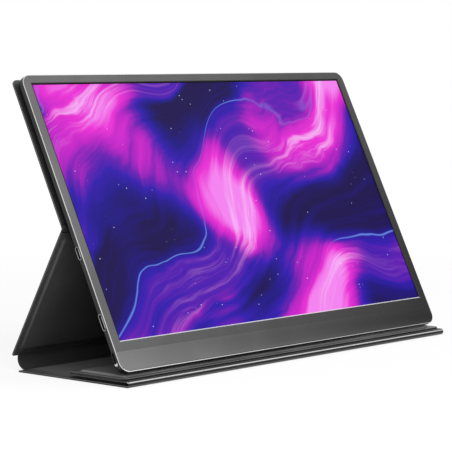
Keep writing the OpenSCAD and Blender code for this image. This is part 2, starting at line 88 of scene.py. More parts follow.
class Graph:
    """A node tree, with short calls for what the finishes and the light here use."""

    def __init__(self, owner: Material | World, output: str) -> None:
        """Empties a node tree and gives it an output.

        Args:
            owner: the material or the world whose tree it is.
            output: Blender's name of the output node's type.
        """
        owner.use_nodes = True
        self.tree = owner.node_tree
        self.tree.nodes.clear()
        self.output = self.tree.nodes.new(output)

    def put(self, value: Value, socket: NodeSocket) -> None:
        """Feeds a socket.

        Args:
            value: another socket, a number, a vector, or a colour without its alpha.
            socket: the socket to feed.
        """
        if isinstance(value, NodeSocket):
            self.tree.links.new(value, socket)
        elif socket.type == "RGBA":
            socket.default_value = (*value, 1.0)
        else:
            socket.default_value = value

    def show(self, shader: NodeSocket) -> None:
        """Sends a shader to the output."""
        self.put(shader, self.output.inputs["Surface"])

    def node(self, kind: str, inputs: dict | None = None, **settings: object) -> Node:
        """Adds a node.

        Args:
            kind: Blender's name of the node type.
            inputs: values or sockets, by input name or index.
            settings: properties of the node.

        Returns:
            The new node.
        """
        made = self.tree.nodes.new(kind)
        for key, value in settings.items():
            setattr(made, key, value)
        for key, value in (inputs or {}).items():
            self.put(value, made.inputs[key])
        return made

    def math(self, operation: str, *values: Value) -> NodeSocket:
        """A Math node on numbers or sockets; its result."""
        inputs = dict(enumerate(values))
        return self.node("ShaderNodeMath", inputs, operation=operation).outputs[0]

    def product(self, *values: Value) -> NodeSocket:
        """Values multiplied from left to right."""
        return reduce(lambda a, b: self.math("MULTIPLY", a, b), values)

    def total(self, *values: Value) -> NodeSocket:
        """Values added up from left to right."""
        return reduce(lambda a, b: self.math("ADD", a, b), values)

    def vector(self, operation: str, *values: Value, scale: float | None = None) -> NodeSocket:
        """A Vector Math node.

        Args:
            operation: Blender's name of the operation.
            values: vectors or sockets.
            scale: the factor of a SCALE operation.

        Returns:
            Its vector, or its number where the operation gives one.
        """
        inputs: dict = dict(enumerate(values))
        if scale is not None:
            inputs["Scale"] = scale
        made = self.node("ShaderNodeVectorMath", inputs, operation=operation)
        number = operation in ("DOT_PRODUCT", "LENGTH")
        return made.outputs["Value" if number else "Vector"]

    def combine(self, *parts: Value) -> NodeSocket:
        """A vector of up to three numbers."""
        return self.node("ShaderNodeCombineXYZ", dict(enumerate(parts))).outputs[0]

    def parts(self, vector: NodeSocket) -> tuple[NodeSocket, ...]:
        """The x, y and z of a vector."""
        return tuple(self.node("ShaderNodeSeparateXYZ", {0: vector}).outputs)

    def place(self) -> NodeSocket:
        """Object coordinates, in metres."""
        return self.node("ShaderNodeTexCoord").outputs["Object"]

    def uv(self) -> NodeSocket:
        """The piece's own UV map."""
        return self.node("ShaderNodeTexCoord").outputs["UV"]

    def noise(self, at: Value, scale: float, detail: float = 3.0, rough: float = 0.5) -> NodeSocket:
        """Noise with so many features a metre; a number around 0.5."""
        inputs = {"Vector": at, "Scale": scale, "Detail": detail, "Roughness": rough}
        return self.node("ShaderNodeTexNoise", inputs).outputs["Fac"]

    def cells(self, at: Value, scale: float, feature: str = "F1") -> NodeSocket:
        """Distance in a pattern with so many cells a metre."""
        made = self.node("ShaderNodeTexVoronoi", {"Vector": at, "Scale": scale}, feature=feature)
        return made.outputs["Distance"]

    def flow(self, at: Value, scale: float, reach: float, detail: float = 1.0) -> NodeSocket:
        """Pushes a place about by noise.

        Args:
            at: the place.
            scale: features of the noise a metre.
            reach: twice the farthest push along an axis.
            detail: octaves of the noise.

        Returns:
            The new place.
        """
        drift = self.node("ShaderNodeTexNoise", {"Vector": at, "Scale": scale, "Detail": detail})
        centred = self.vector("SUBTRACT", drift.outputs["Color"], (0.5, 0.5, 0.5))
        return self.vector("ADD", at, self.vector("SCALE", centred, scale=reach))

    def spread(self, value: Value, low: float, high: float,
               to_low: float = 0.0, to_high: float = 1.0) -> NodeSocket:
        """Maps a value smoothly from one range to another, clamped at both ends.

        Args:
            value: the value.
            low: start of its range.
            high: end of its range.
            to_low: result at the start.
            to_high: result at the end.

        Returns:
            The mapped value.
        """
        inputs = {"Value": value, "From Min": low, "From Max": high,
                  "To Min": to_low, "To Max": to_high}
        made = self.node("ShaderNodeMapRange", inputs, interpolation_type="SMOOTHSTEP")
        return made.outputs["Result"]

    def ramp(self, value: Value, stops: tuple[tuple[float, Colour], ...]) -> NodeSocket:
        """A straight colour ramp.

        Args:
            value: place on the ramp, 0 to 1.
            stops: its colours, each with its place.

        Returns:
            The colour.
        """
        made = self.node("ShaderNodeValToRGB", {"Fac": value})
        elements = made.color_ramp.elements
        while len(elements) < len(stops):
            elements.new(0.5)
        for element, (place, colour) in zip(elements, stops):
            element.position = place
            element.color = (*colour, 1.0)
        return made.outputs["Color"]

    def mix(self, share: Value, a: Value, b: Value, blend: str = "MIX") -> NodeSocket:
        """Two colours mixed, with this share of the second."""
        inputs = {0: share, 6: a, 7: b}
        return self.node("ShaderNodeMix", inputs, data_type="RGBA", blend_type=blend).outputs[2]

    def mottled(self, colour: Colour, patches: NodeSocket, dark: float, light: float,
                low: float = 0.3) -> NodeSocket:
        """A colour that drifts between a darker and a lighter shade.

        Args:
            colour: the colour.
            patches: broad noise that says where it is dark or light.
            dark: factor on the colour in the darkest patches.
            light: factor on the colour in the lightest patches.
            low: noise below this is darkest, and as far above a half it is lightest.

        Returns:
            The drifting colour.
        """
        share = self.spread(patches, low, 1.0 - low)
        return self.mix(share, tint(colour, dark), tint(colour, light))

    def glow(self, colour: Value, strength: float) -> NodeSocket:
        """A shader that gives light."""
        return self.node("ShaderNodeEmission", {"Color": colour, "Strength": strength}).outputs[0]

    def choose(self, share: Value, first: NodeSocket, second: NodeSocket) -> NodeSocket:
        """Two shaders mixed, with this share of the second."""
        return self.node("ShaderNodeMixShader", {0: share, 1: first, 2: second}).outputs[0]

    def looked_at(self) -> NodeSocket:
        """Tells rays that look from rays that carry light.

        Returns:
            1 for rays from the camera or through gloss or glass, and 0 for others.
        """
        path = self.node("ShaderNodeLightPath").outputs
        some = self.math("MAXIMUM", path["Is Camera Ray"], path["Is Glossy Ray"])
        return self.math("MAXIMUM", some, path["Is Transmission Ray"])


class Surface(Graph):
    """The node tree of one material, with a principled shader."""

    def __init__(self, name: str) -> None:
        """Makes the material.

        Args:
            name: its name.
        """
        self.material = bpy.data.materials.new(name)
        super().__init__(self.material, "ShaderNodeOutputMaterial")
        self.shader = self.tree.nodes.new("ShaderNodeBsdfPrincipled")
        self.show(self.shader.outputs["BSDF"])

    def bump(self, height: Value, depth: float, strength: float) -> None:
        """Gives the shader a relief.

        Args:
            height: the relief, 0 to 1.
            depth: how high it stands, in metres.
            strength: share of it that shows.
        """
        inputs = {"Height": height, "Distance": depth, "Strength": strength}
        made = self.node("ShaderNodeBump", inputs)
        self.put(made.outputs["Normal"], self.shader.inputs["Normal"])

    def set(self, **values: Value) -> None:
        """Sets the shader's sockets.

        Args:
            values: values or sockets; a word such as base_color stands for Base Color.
        """
        names = {s.name.lower().replace(" ", "_"): s.name for s in self.shader.inputs}
        for key, value in values.items():
            self.put(value, self.shader.inputs[names[key]])


# Finishes


@dataclass(frozen=True)
class Coating:
    """A finish: the name of its material and its colour."""

    name: str
    colour: Colour

    def build(self) -> Material:
        """Makes the material.

        Returns:
            The new material.
        """
        g = Surface(self.name)
        self.paint(g, g.place())
        return g.material

    def paint(self, g: Surface, at: NodeSocket) -> None:
        """Sets the material's shader.

        Args:
            g: the material's nodes.
            at: Object coordinates, in metres.
        """
        raise NotImplementedError


@dataclass(frozen=True)
class SatinMetal(Coating):
    """Bead-blasted, anodised metal."""

    roughness: float = 0.38
    grain: float = 2600.0
    patches: float = 22.0
    relief: float = 0.000012

    def paint(self, g: Surface, at: NodeSocket) -> None:
        """Sets fine specks on tone that drifts a little.

        Args:
            g: the material's nodes.
            at: Object coordinates, in metres.
        """
        fine = g.noise(at, self.grain, detail=2.0)
        tone = g.mottled(self.colour, g.noise(at, self.patches, detail=2.0), 0.93, 1.06, low=0.35)
        speck = g.product(g.spread(fine, 0.3, 0.7), 0.12)
        tone = g.mix(speck, tone, tint(self.colour, 1.5))
        rough = g.spread(fine, 0.3, 0.7, self.roughness - 0.03, self.roughness + 0.04)
        g.set(base_color=tone, metallic=1.0, roughness=rough)
        g.bump(fine, self.relief, 0.6)


@dataclass(frozen=True)
class PolishedMetal(Coating):
    """Bright cut metal with the faint lines of the cutter."""

    roughness: float = 0.16
    lines: float = 5200.0
    patches: float = 60.0
    relief: float = 0.000004

    def paint(self, g: Surface, at: NodeSocket) -> None:
        """Sets faint lines on bright tone.

        Args:
            g: the material's nodes.
            at: Object coordinates, in metres.
        """
        lines = g.noise(at, self.lines, detail=2.0)
        tone = g.mottled(self.colour, g.noise(at, self.patches, detail=2.0), 0.9, 1.0, low=0.35)
        rough = g.spread(lines, 0.3, 0.7, self.roughness - 0.04, self.roughness + 0.06)
        g.set(base_color=tone, metallic=1.0, roughness=rough)
        g.bump(lines, self.relief, 0.4)


@dataclass(frozen=True)
class Leather(Coating):
    """Thin coated leather with a fine pebble grain. Bands, if any, run up the piece's UV map; they
    are painted highlight, painted shade and painted reflection.
    """

    roughness: float = 0.5
    grain: float = 1500.0
    relief: float = 0.00006
    gloss: float = 0.45
    bands: tuple[tuple[float, float], ...] = ()
    patches: float = 16.0

    def paint(self, g: Surface, at: NodeSocket) -> None:
        """Sets pebbles, the creases between them with painted shade, and pores on tone that drifts.

        Args:
            g: the material's nodes.
            at: Object coordinates, in metres.
        """
        bent = g.flow(at, scale=420.0, reach=0.0006, detail=2.0)
        pebble = g.cells(bent, self.grain)
        crease = g.cells(bent, self.grain * 0.62, "DISTANCE_TO_EDGE")
        pore = g.noise(at, self.grain * 2.4, detail=2.0)
        height = g.total(g.product(pebble, -0.5), g.spread(crease, 0.0, 0.12, 0.0, 0.6),
                         g.product(pore, 0.3))
        broad = g.noise(at, self.patches)
        tone = g.mottled(self.colour, broad, 0.8, 1.2)
        # painted shade: the grain's creases are darkened
        tone = g.mix(g.spread(crease, 0.0, 0.1, 0.35, 0.0), tone, tint(self.colour, 0.4))
        # painted light: bands of painted highlight, shade and reflection up the piece, laid over
        # its tone
        if self.bands:
            up = g.parts(g.uv())[1]
            painted_light_bands = g.ramp(up, tuple((place, grey(level)) for place, level in self.bands))
            tone = g.mix(g.spread(pebble, 0.1, 0.9, 0.92, 0.7), tone, painted_light_bands)
        rough = g.spread(broad, 0.3, 0.7, self.roughness - 0.05, self.roughness + 0.06)
        g.set(base_color=tone, roughness=rough, specular_ior_level=self.gloss)
        g.bump(height, self.relief, 0.55)


@dataclass(frozen=True)
class Microfibre(Coating):
    """Short-napped lining cloth."""

    nap: float = 3800.0
    strokes: float = 28.0
    relief: float = 0.00005

    def paint(self, g: Surface, at: NodeSocket) -> None:
        """Sets a fine nap, brushed in broad strokes.

        Args:
            g: the material's nodes.
            at: Object coordinates, in metres.
        """
        nap = g.noise(at, self.nap, rough=0.6)
        tone = g.mottled(self.colour, g.noise(at, self.strokes), 0.75, 1.25)
        tone = g.mix(g.spread(nap, 0.35, 0.65, 0.0, 0.35), tone, tint(self.colour, 1.6))
        g.set(base_color=tone, roughness=0.82, specular_ior_level=0.3, sheen_weight=0.12,
              sheen_roughness=0.4)
        g.bump(nap, self.relief, 0.5)


@dataclass(frozen=True)
class Moulded(Coating):
    """Moulded plastic with a fine spark texture."""

    roughness: float = 0.5
    clear: float = 0.0
    sparks: float = 3000.0
    patches: float = 40.0
    relief: float = 0.00002

    def paint(self, g: Surface, at: NodeSocket) -> None:
        """Sets a spark texture on tone that drifts a little.

        Args:
            g: the material's nodes.
            at: Object coordinates, in metres.
        """
        spark = g.noise(at, self.sparks)
        tone = g.mottled(self.colour, g.noise(at, self.patches, detail=2.0), 0.9, 1.0)
        rough = g.spread(spark, 0.3, 0.7, self.roughness - 0.06, self.roughness + 0.06)
        g.set(base_color=tone, roughness=rough, transmission_weight=self.clear)
        g.bump(spark, self.relief, 0.4)


@dataclass(frozen=True)
class CircuitBoard(Coating):
    """Solder mask over copper tracks, with bare pads."""

    pitch: float = 620.0
    relief: float = 0.00003
    pad: Colour = (0.6, 0.45, 0.2)

    def paint(self, g: Surface, at: NodeSocket) -> None:
        """Sets tracks and pads.

        Args:
            g: the material's nodes.
            at: Object coordinates, in metres.
        """
        inputs = {"Vector": at, "Scale": self.pitch, "Mortar Size": 0.06}
        track = g.math("SUBTRACT", 1.0, g.node("ShaderNodeTexBrick", inputs).outputs["Fac"])
        tone = g.mix(track, tint(self.colour, 1.8), self.colour)
        pad = g.spread(g.cells(at, self.pitch * 0.45), 0.1, 0.14, 1.0, 0.0)
        g.set(base_color=g.mix(pad, tone, self.pad), metallic=pad, roughness=0.35)
        g.bump(track, self.relief, 0.5)


@dataclass(frozen=True)
class ScreenPicture(Coating):
    """The lit panel: ribbons of violet and rose silk that rise across deep blue, with sparks.

    It reads the panel's own UV map, 0 to 1 across the picture.
    """

    aspect: float = 1.778
    rise: float = 34.0
    border_left: float = 0.0036
    border_right: float = 0.0015
    border_top: float = 0.0042
    silk: tuple[tuple[float, Colour], ...] = (
        (0.0, (0.009, 0.002, 0.075)),
        (0.17, (0.012, 0.004, 0.24)),
        (0.34, (0.030, 0.006, 0.42)),
        (0.46, (0.14, 0.007, 0.44)),
        (0.59, (0.52, 0.010, 0.56)),
        (0.76, (0.82, 0.025, 0.66)),
        (0.94, (0.90, 0.22, 0.86)),
    )
    crest: Colour = (0.93, 0.62, 0.98)
    line: Colour = (0.16, 0.30, 0.92)
    spark: Colour = (0.66, 0.86, 1.0)

    def paint(self, g: Surface, at: NodeSocket) -> None:
        """Sets the picture as light on a nearly black panel.

        Args:
            g: the material's nodes.
            at: Object coordinates, in metres.
        """
        uv = g.uv()
        flat = g.vector("MULTIPLY", uv, (self.aspect, 1.0, 0.0))
        tone = self.sparks(g, flat, self.ribbons(g, flat))
        g.set(base_color=self.colour, roughness=0.5, specular_ior_level=0.05,
              emission_color=self.framed(g, uv, tone), emission_strength=1.0)

    def ribbons(self, g: Surface, flat: NodeSocket) -> NodeSocket:
        """The silk: broad folds, and fine strands that run along them.

        Args:
            g: the material's nodes.
            flat: place on the picture, in picture heights.

        Returns:
            The colour.
        """
        turn = math.radians(self.rise)
        bent = g.flow(g.flow(flat, scale=1.25, reach=0.85), scale=3.6, reach=0.13, detail=2.0)
        along = g.vector("DOT_PRODUCT", bent, (math.cos(turn), math.sin(turn), 0.0))
        across = g.vector("DOT_PRODUCT", bent, (-math.sin(turn), math.cos(turn), 0.0))
        strand, broad = (
            g.noise(g.combine(g.product(along, slow), g.product(across, quick)), 1.0, detail, rough)
            for slow, quick, detail, rough in ((1.4, 19.0, 5.0, 0.62), (0.9, 4.2, 2.0, 0.45)))
        fold = g.total(g.product(across, 9.5), g.product(broad, 5.0))
        wave = g.spread(g.math("SINE", fold), -1.0, 1.0)
        pushed = g.flow(flat, scale=0.9, reach=0.6)
        mass = g.spread(g.noise(pushed, 1.35, detail=1.0), 0.40, 0.62)
        level = g.total(g.product(wave, 0.42), g.product(mass, 0.60),
                        g.product(g.math("SUBTRACT", strand, 0.5), 0.42))
        crest = g.product(g.spread(wave, 0.90, 1.0), g.spread(strand, 0.46, 0.66),
                          g.spread(mass, 0.0, 0.7, 0.12, 0.6))
        tone = g.mix(crest, g.ramp(level, self.silk), self.crest)
        edge = g.math("ABSOLUTE", g.math("COSINE", g.product(fold, 0.5)))
        line = g.product(g.spread(edge, 0.0, 0.045, 1.0, 0.0), g.spread(mass, 0.0, 0.6, 0.75, 0.15))
        return g.mix(line, tone, self.line)

    def sparks(self, g: Surface, flat: NodeSocket, tone: NodeSocket) -> NodeSocket:
        """Small drifting lights, gathered here and there.

        Args:
            g: the material's nodes.
            flat: place on the picture, in picture heights.
            tone: colour without the lights.

        Returns:
            The colour with them.
        """
        for scale, low, high in ((30.0, 0.52, 0.60), (13.0, 0.60, 0.66)):
            gate = g.spread(g.noise(flat, scale / 3.5, detail=1.0), low, high)
            dot = g.spread(g.cells(flat, scale), 0.03, 0.085, 1.0, 0.0)
            tone = g.mix(g.product(dot, gate), tone, self.spark)
        return tone

    def framed(self, g: Surface, uv: NodeSocket, tone: NodeSocket) -> NodeSocket:
        """The picture inside the panel's thin dark border.

        Args:
            g: the material's nodes.
            uv: place on the picture, 0 to 1.
            tone: colour of the picture.

        Returns:
            The colour with the border.
        """
        across, up, _ = g.parts(uv)
        inside = g.product(
            g.math("GREATER_THAN", across, self.border_left),
            g.math("LESS_THAN", up, 1.0 - self.border_top),
            g.math("LESS_THAN", across, 1.0 - self.border_right),
            g.math("GREATER_THAN", up, 0.0))
        return g.mix(inside, grey(0.0), tone)


class Finish(Enum):
    """Every finish of the object."""

    FRAME = SatinMetal("frame_metal", grey(0.074), 0.30)
    CHIN = SatinMetal("chin_metal", grey(0.100), 0.26)
    SIDE = SatinMetal("side_metal", grey(0.045), 0.42)
    REAR = SatinMetal("rear_metal", grey(0.050), 0.45)
    RIM = PolishedMetal("cut_rim", grey(0.72))
    # light grey on the opening's lip that faces up: painted highlight; near black on its other
    # walls: painted shade
    LIP = Moulded("window_lip", grey(0.58), 0.4)
    GASKET = Moulded("window_gasket", grey(0.010), 0.6)
    PORT = PolishedMetal("port_metal", grey(0.55), 0.22)
    STEEL = PolishedMetal("steel_sheet", grey(0.50), 0.34)
    NICKEL = PolishedMetal("magnet_nickel", grey(0.60), 0.28)
    SKIN = Leather("cover_leather", grey(0.026), 0.42)
    # lighter than the skin: a painted sheen on the lining's flat border; its lower roughness is
    # real gloss
    PRESSED = Leather("pressed_leather", grey(0.060), 0.38, 1900.0, 0.00003)
    FOLD = Leather("folded_leather", grey(0.034), 0.40, 1900.0, 0.00005)
    # painted highlight on the lining's rounded edges, where they catch the light
    RUBBED = Leather("rubbed_edge", grey(0.12), 0.40, 1900.0, 0.00003)
    PAINTED = Leather("painted_edge", grey(0.009), 0.40, 2200.0, 0.00002, 0.2)
    # painted light round the front roll, from its foot up: dark foot, grey painted reflection of
    # the floor, near-black painted reflection in the middle, bright painted highlight on the upper
    # shoulder, dark top
    ROLLED = Leather("rolled_leather", grey(0.026), 0.36, gloss=0.15, bands=(
        (0.0, 0.008), (0.09, 0.014), (0.16, 0.080), (0.34, 0.080), (0.40, 0.004),
        (0.69, 0.004), (0.75, 0.56), (0.84, 0.50), (0.89, 0.010), (1.0, 0.006)))
    # painted highlight on the far flap's slopes up to its board, where they catch the light
    CREASED = Leather("creased_leather", grey(0.17), 0.36, 1900.0, 0.00003)
    LINING = Microfibre("cover_lining", grey(0.038))
    PLASTIC = Moulded("black_plastic", grey(0.012), 0.45)
    FILM = Moulded("white_film", grey(0.82), 0.5)
    GUIDE = Moulded("light_guide", (0.86, 0.92, 0.95), 0.12, 0.7)
    LAMPS = Moulded("led_strip", (0.80, 0.68, 0.24), 0.35)
    CARD = Moulded("grey_card", (0.30, 0.28, 0.24), 0.9)
    RIBBON = Moulded("ribbon", (0.62, 0.26, 0.04), 0.35)
    BOARD = CircuitBoard("circuit_board", (0.012, 0.09, 0.04))
    PICTURE = ScreenPicture("screen_picture", grey(0.002))


@cache
def material_of(finish: Finish) -> Material:
    """The material of a finish, made once."""
    return finish.value.build()


# Mesh tools


@dataclass(frozen=True)
class Outline:
    """A rectangle across the cover or the monitor, with a corner radius at each end."""

    width: float
    y0: float
    y1: float
    r0: float
    r1: float

    def inset(self, by: float) -> "Outline":
        """The same outline, drawn in."""
        r0, r1 = (max(radius - by, SHARP_CORNER) for radius in (self.r0, self.r1))
        return Outline(self.width - 2 * by, self.y0 + by, self.y1 - by, r0, r1)

    def face(self, bm: BMesh, z: float, segments: int = 12) -> BMFace:
        """Adds the outline to a mesh as one flat face.

        Args:
            bm: the mesh.
            z: height of the face.
            segments: steps round each corner.

        Returns:
            The face, which points up.
        """
        present = set(bm.faces)
        made = bmesh.ops.create_grid(bm, x_segments=1, y_segments=1, size=0.5)["verts"]
        middle = (self.y0 + self.y1) / 2
        bmesh.ops.scale(bm, vec=(self.width, self.y1 - self.y0, 1.0), verts=made)
        bmesh.ops.translate(bm, vec=(0.0, middle, z), verts=made)
        low = [v for v in made if v.co.y < middle]
        high = [v for v in made if v.co.y > middle]
        for radius, corners in ((self.r0, low), (self.r1, high)):
            bmesh.ops.bevel(bm, geom=corners, offset=radius, offset_type="OFFSET",
                            affect="VERTICES", segments=segments, profile=0.5, material=-1)
        found = next(f for f in bm.faces if f not in present)
        found.normal_update()
        if found.normal.z < 0:
            found.normal_flip()
        return found


def extrude_down(bm: BMesh, face: BMFace, depth: float) -> None:
    """Turns a face that points up into a solid below it.

    Args:
        bm: the mesh, which holds nothing else.
        face: the face.
        depth: thickness of the solid.
    """
    made = bmesh.ops.extrude_face_region(bm, geom=[face], use_keep_orig=True)["geom"]
    moved = [g for g in made if isinstance(g, BMVert)]
    bmesh.ops.translate(bm, vec=(0.0, 0.0, -depth), verts=moved)
    bmesh.ops.recalc_face_normals(bm, faces=bm.faces)


def edges_at(bm: BMesh, z: float) -> list[BMEdge]:
    """The sharp edges that lie at a height.

    Args:
        bm: the mesh.
        z: the height.

    Returns:
        The edges.
    """
    return [e for e in bm.edges
            if all(abs(v.co.z - z) < NEAR for v in e.verts)
            and len(e.link_faces) == 2 and e.calc_face_angle(0.0) > CREASE]


def round_edges(bm: BMesh, edges: list[BMEdge], offset: float, segments: int = 4) -> None:
    """Rounds edges in so many steps, each side drawn back by the offset."""
    bmesh.ops.bevel(bm, geom=edges, offset=offset, offset_type="OFFSET", affect="EDGES",
                    segments=segments, profile=0.5, material=-1, clamp_overlap=True)


def slab(outline: Outline, top: float, bottom: float, top_round: float = 0.0,
         bottom_round: float = 0.0) -> BMesh:
    """A plate between two heights.

    Args:
        outline: its shape from above.
        top: upper height.
        bottom: lower height.
        top_round: rounding of the upper edge.
        bottom_round: rounding of the lower edge.

    Returns:
        The mesh.
    """
    bm = bmesh.new()
    extrude_down(bm, outline.face(bm, top), top - bottom)
    for height, offset in ((top, top_round), (bottom, bottom_round)):
        if offset:
            round_edges(bm, edges_at(bm, height), offset)
    return bm


def loft(levels: list[tuple[Outline, float]]) -> BMesh:
    """A closed solid through outlines.

    Args:
        levels: the outlines, each with its height, from the bottom up.

    Returns:
        The mesh.
    """
    bm = bmesh.new()
    faces = [outline.face(bm, height) for outline, height in levels]
    for lower, upper in zip(faces, faces[1:]):
        bmesh.ops.bridge_loops(bm, edges=[*lower.edges, *upper.edges])
    bmesh.ops.delete(bm, geom=faces[1:-1], context="FACES_ONLY")
    bmesh.ops.recalc_face_normals(bm, faces=bm.faces)
    return bm


def taper(bm: BMesh, below: float, middle: float, size: Point, drawn_in: float) -> None:
    """Draws the lower part of a solid in towards its middle.

    Args:
        bm: the mesh.
        below: vertices under this height are moved.
        middle: Y of the solid's middle.
        size: width and height of the part that is moved.
        drawn_in: how far each of its sides moves.
    """
    low = [v for v in bm.verts if v.co.z < below]
    scale = (*((length - 2 * drawn_in) / length for length in size), 1.0)
    about = Matrix.Translation((0.0, -middle, 0.0))
    bmesh.ops.scale(bm, vec=scale, verts=low, space=about)


def add_object(name: str, data: bpy.types.ID) -> Object:
    """Puts a mesh, lamp or camera into the scene, at the origin.

    Args:
        name: the object's name.
        data: the mesh, lamp or camera.

    Returns:
        The object.
    """
    made = bpy.data.objects.new(name, data)
    bpy.context.scene.collection.objects.link(made)
    return made


def finished_mesh(bm: BMesh, name: str) -> Mesh:
    """Turns a bmesh into a mesh.

    Args:
        bm: the bmesh, which is freed.
        name: the mesh's name.

    Returns:
        The mesh.
    """
    mesh = bpy.data.meshes.new(name)
    bm.to_mesh(mesh)
    bm.free()
    return mesh


def shade(mesh: Mesh) -> None:
    """Shades a mesh smoothly, apart from its sharp edges."""
    mesh.polygons.foreach_set("use_smooth", [True] * len(mesh.polygons))
    mesh.set_sharp_from_angle(angle=math.radians(SMOOTH_BELOW))


def as_piece(bm: BMesh, name: str, matrix: Matrix, finishes: list[Finish]) -> Object:
    """Makes an object at the origin from a mesh in a part's own frame, in millimetres.

    Args:
        bm: the mesh, which is freed.
        name: the piece's name.
        matrix: from the part's own frame to the row frame, in millimetres.
        finishes: finishes, by material index.

    Returns:
        The object, in metres.
    """
    bmesh.ops.transform(bm, matrix=Matrix.Scale(MM, 4) @ matrix, verts=bm.verts)
    if matrix.determinant() < 0:
        bmesh.ops.reverse_faces(bm, faces=bm.faces)
    piece = add_object(name, finished_mesh(bm, name))
    for finish in finishes:
        piece.data.materials.append(material_of(finish))
    shade(piece.data)
    return piece


def cut(piece: Object, cutters: list[Object]) -> None:
    """Cuts pieces out of a piece.

    Args:
        piece: the piece to cut.
        cutters: the pieces to cut with, which are removed.
    """
    for cutter in cutters:
        modifier = piece.modifiers.new("cut", "BOOLEAN")
        modifier.object = cutter
        modifier.operation = "DIFFERENCE"
        modifier.solver = "EXACT"
    depsgraph = bpy.context.evaluated_depsgraph_get()
    old = piece.data
    piece.data = bpy.data.meshes.new_from_object(piece.evaluated_get(depsgraph))
    piece.data.name = piece.name
    piece.modifiers.clear()
    bpy.data.meshes.remove(old)
    shade(piece.data)
    for cutter in cutters:
        bpy.data.objects.remove(cutter)


def dress(piece: Object, body: str, node: str) -> Object:
    """Rides a piece on a body and lets it stand for a node.

    Args:
        piece: the piece.
        body: the body it moves with.
        node: the construction's node that it stands for.

    Returns:
        The piece.
    """
    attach(piece, body)
    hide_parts(node)
    return piece


# Sizes and places


@dataclass(frozen=True)
class Stand:
    """The stand's side view, as the construction has it. Millimetres and degrees."""

    screen_w: float = 344.2
    screen_h: float = 193.6
    side_bezel: float = 7.9
    top_bezel: float = 6.7
    chin_h: float = 22.9
    chin_band_h: float = 15.4
    monitor_depth: float = 7.1
    side_depth: float = 4.8
    frame_t: float = 1.0
    cover_w: float = 362.0
    skin_t: float = 0.6
    lining_t: float = 0.6
    board_rise: float = 1.1
    flange_w: float = 4.0
    slope_w: float = 2.5
    cover_corner_r: float = 4.0
    layer_gap: float = 0.1
    crease_half: float = 2.5
    spine_reach: float = 2.0
    tilt: float = 63.8
    lean: float = 60.8
    fold_v: float = 110.2
    foot_h: float = 11.4
    foot_overhang: float = 6.6
    roll_front: float = 7.2
    flap_1_len: float = 54.8
    flap_2_len: float = 52.9
    foot_clearance: float = 0.35
    magnet_clearance: float = 0.3
    fit: float = 0.05

    @property
    def mon_w(self) -> float:
        """Width of the monitor."""
        return self.screen_w + 2 * self.side_bezel

    @property
    def mon_h(self) -> float:
        """Height of the monitor along its face."""
        return self.chin_h + self.screen_h + self.top_bezel

    @property
    def flange_t(self) -> float:
        """Thickness of skin and lining together."""
        return self.skin_t + self.lining_t

    @property
    def panel_t(self) -> float:
        """Thickness of a panel with its board."""
        return self.flange_t + self.board_rise

    @property
    def mon_foot_z(self) -> float:
        """Height of the monitor's lower front edge."""
        top = 3 * self.panel_t + 2 * self.layer_gap
        return top + self.foot_clearance + self.side_depth * math.cos(math.radians(self.tilt))

    @property
    def cover_w1(self) -> float:
        """Depth of the upper panel's outer face behind the screen's front face."""
        return self.monitor_depth + self.magnet_clearance + self.panel_t

    @property
    def apex(self) -> tuple[float, float]:
        """The fold behind the monitor.

        Returns:
            Its Y, counted from the monitor's lower front edge, and its height.
        """
        t = math.radians(self.tilt)
        return (self.fold_v * math.cos(t) + self.cover_w1 * math.sin(t),
                self.mon_foot_z + self.fold_v * math.sin(t) - self.cover_w1 * math.cos(t))

    @property
    def support_len(self) -> float:
        """Length of the support panel."""
        return (self.apex[1] - self.foot_h) / math.sin(math.radians(self.lean))

    @property
    def foot_y(self) -> float:
        """Y of the support panel's lower edge."""
        return self.apex[0] + self.support_len * math.cos(math.radians(self.lean))

    @property
    def roll_r(self) -> float:
        """Outer radius of the front roll."""
        return self.panel_t + self.layer_gap / 2

    @property
    def base_front(self) -> float:
        """Y of the base panel's front edge."""
        return self.roll_r + self.fit - self.roll_front

    @property
    def base_len(self) -> float:
        """Length of the base panel."""
        return self.foot_y - self.foot_overhang - self.base_front

    @property
    def mid_y(self) -> float:
        """Y of the footprint's middle."""
        return (self.foot_y - self.roll_front) / 2

    def at(self, y: float, z: float) -> Matrix:
        """A place on the side view, with Y counted from the monitor's lower front edge."""
        return Matrix.Translation((0.0, y - self.mid_y, z))

    def side_point(self, y: float, z: float) -> Vector:
        """The same place as a point."""
        return Vector((0.0, y - self.mid_y, z))

    def on_stand(self) -> Matrix:
        """From the monitor's own frame (x across, y up the face, z out of the face)."""
        return self.at(0.0, self.mon_foot_z) @ Matrix.Rotation(math.radians(self.tilt), 4, "X")

    def at_upper(self) -> Matrix:
        """From the upper panel's own frame (y along it, z from its outer to its inner face)."""
        return self.on_stand() @ Matrix.Translation((0.0, self.fold_v, -self.cover_w1))

    def at_support(self) -> Matrix:
        """From the support panel's own frame."""
        return self.at(*self.apex) @ Matrix.Rotation(math.radians(-self.lean), 4, "X") @ MIRRORED

    def at_base(self) -> Matrix:
        """From the base panel's own frame."""
        return self.at(self.base_front, 0.0)

    def at_flap_1(self) -> Matrix:
        """From the first flap's own frame."""
        return self.at(self.base_front, 2 * self.panel_t + self.layer_gap) @ MIRRORED

    def at_flap_2(self) -> Matrix:
        """From the second flap's own frame."""
        start = self.base_front + self.flap_1_len - self.flap_2_len
        return self.at(start, 2 * self.panel_t + 2 * self.layer_gap)


STAND = Stand()


# Cover


class Zone(IntEnum):
    """Where a face of a panel's lining lies, in the order of the lining's finishes."""

    MIDDLE = 0
    BORDER = 1
    # the rounded edge where it is lightened: painted highlight
    RUBBED_EDGE = 2
    PAINTED_EDGE = 3
    SLOPE = 4


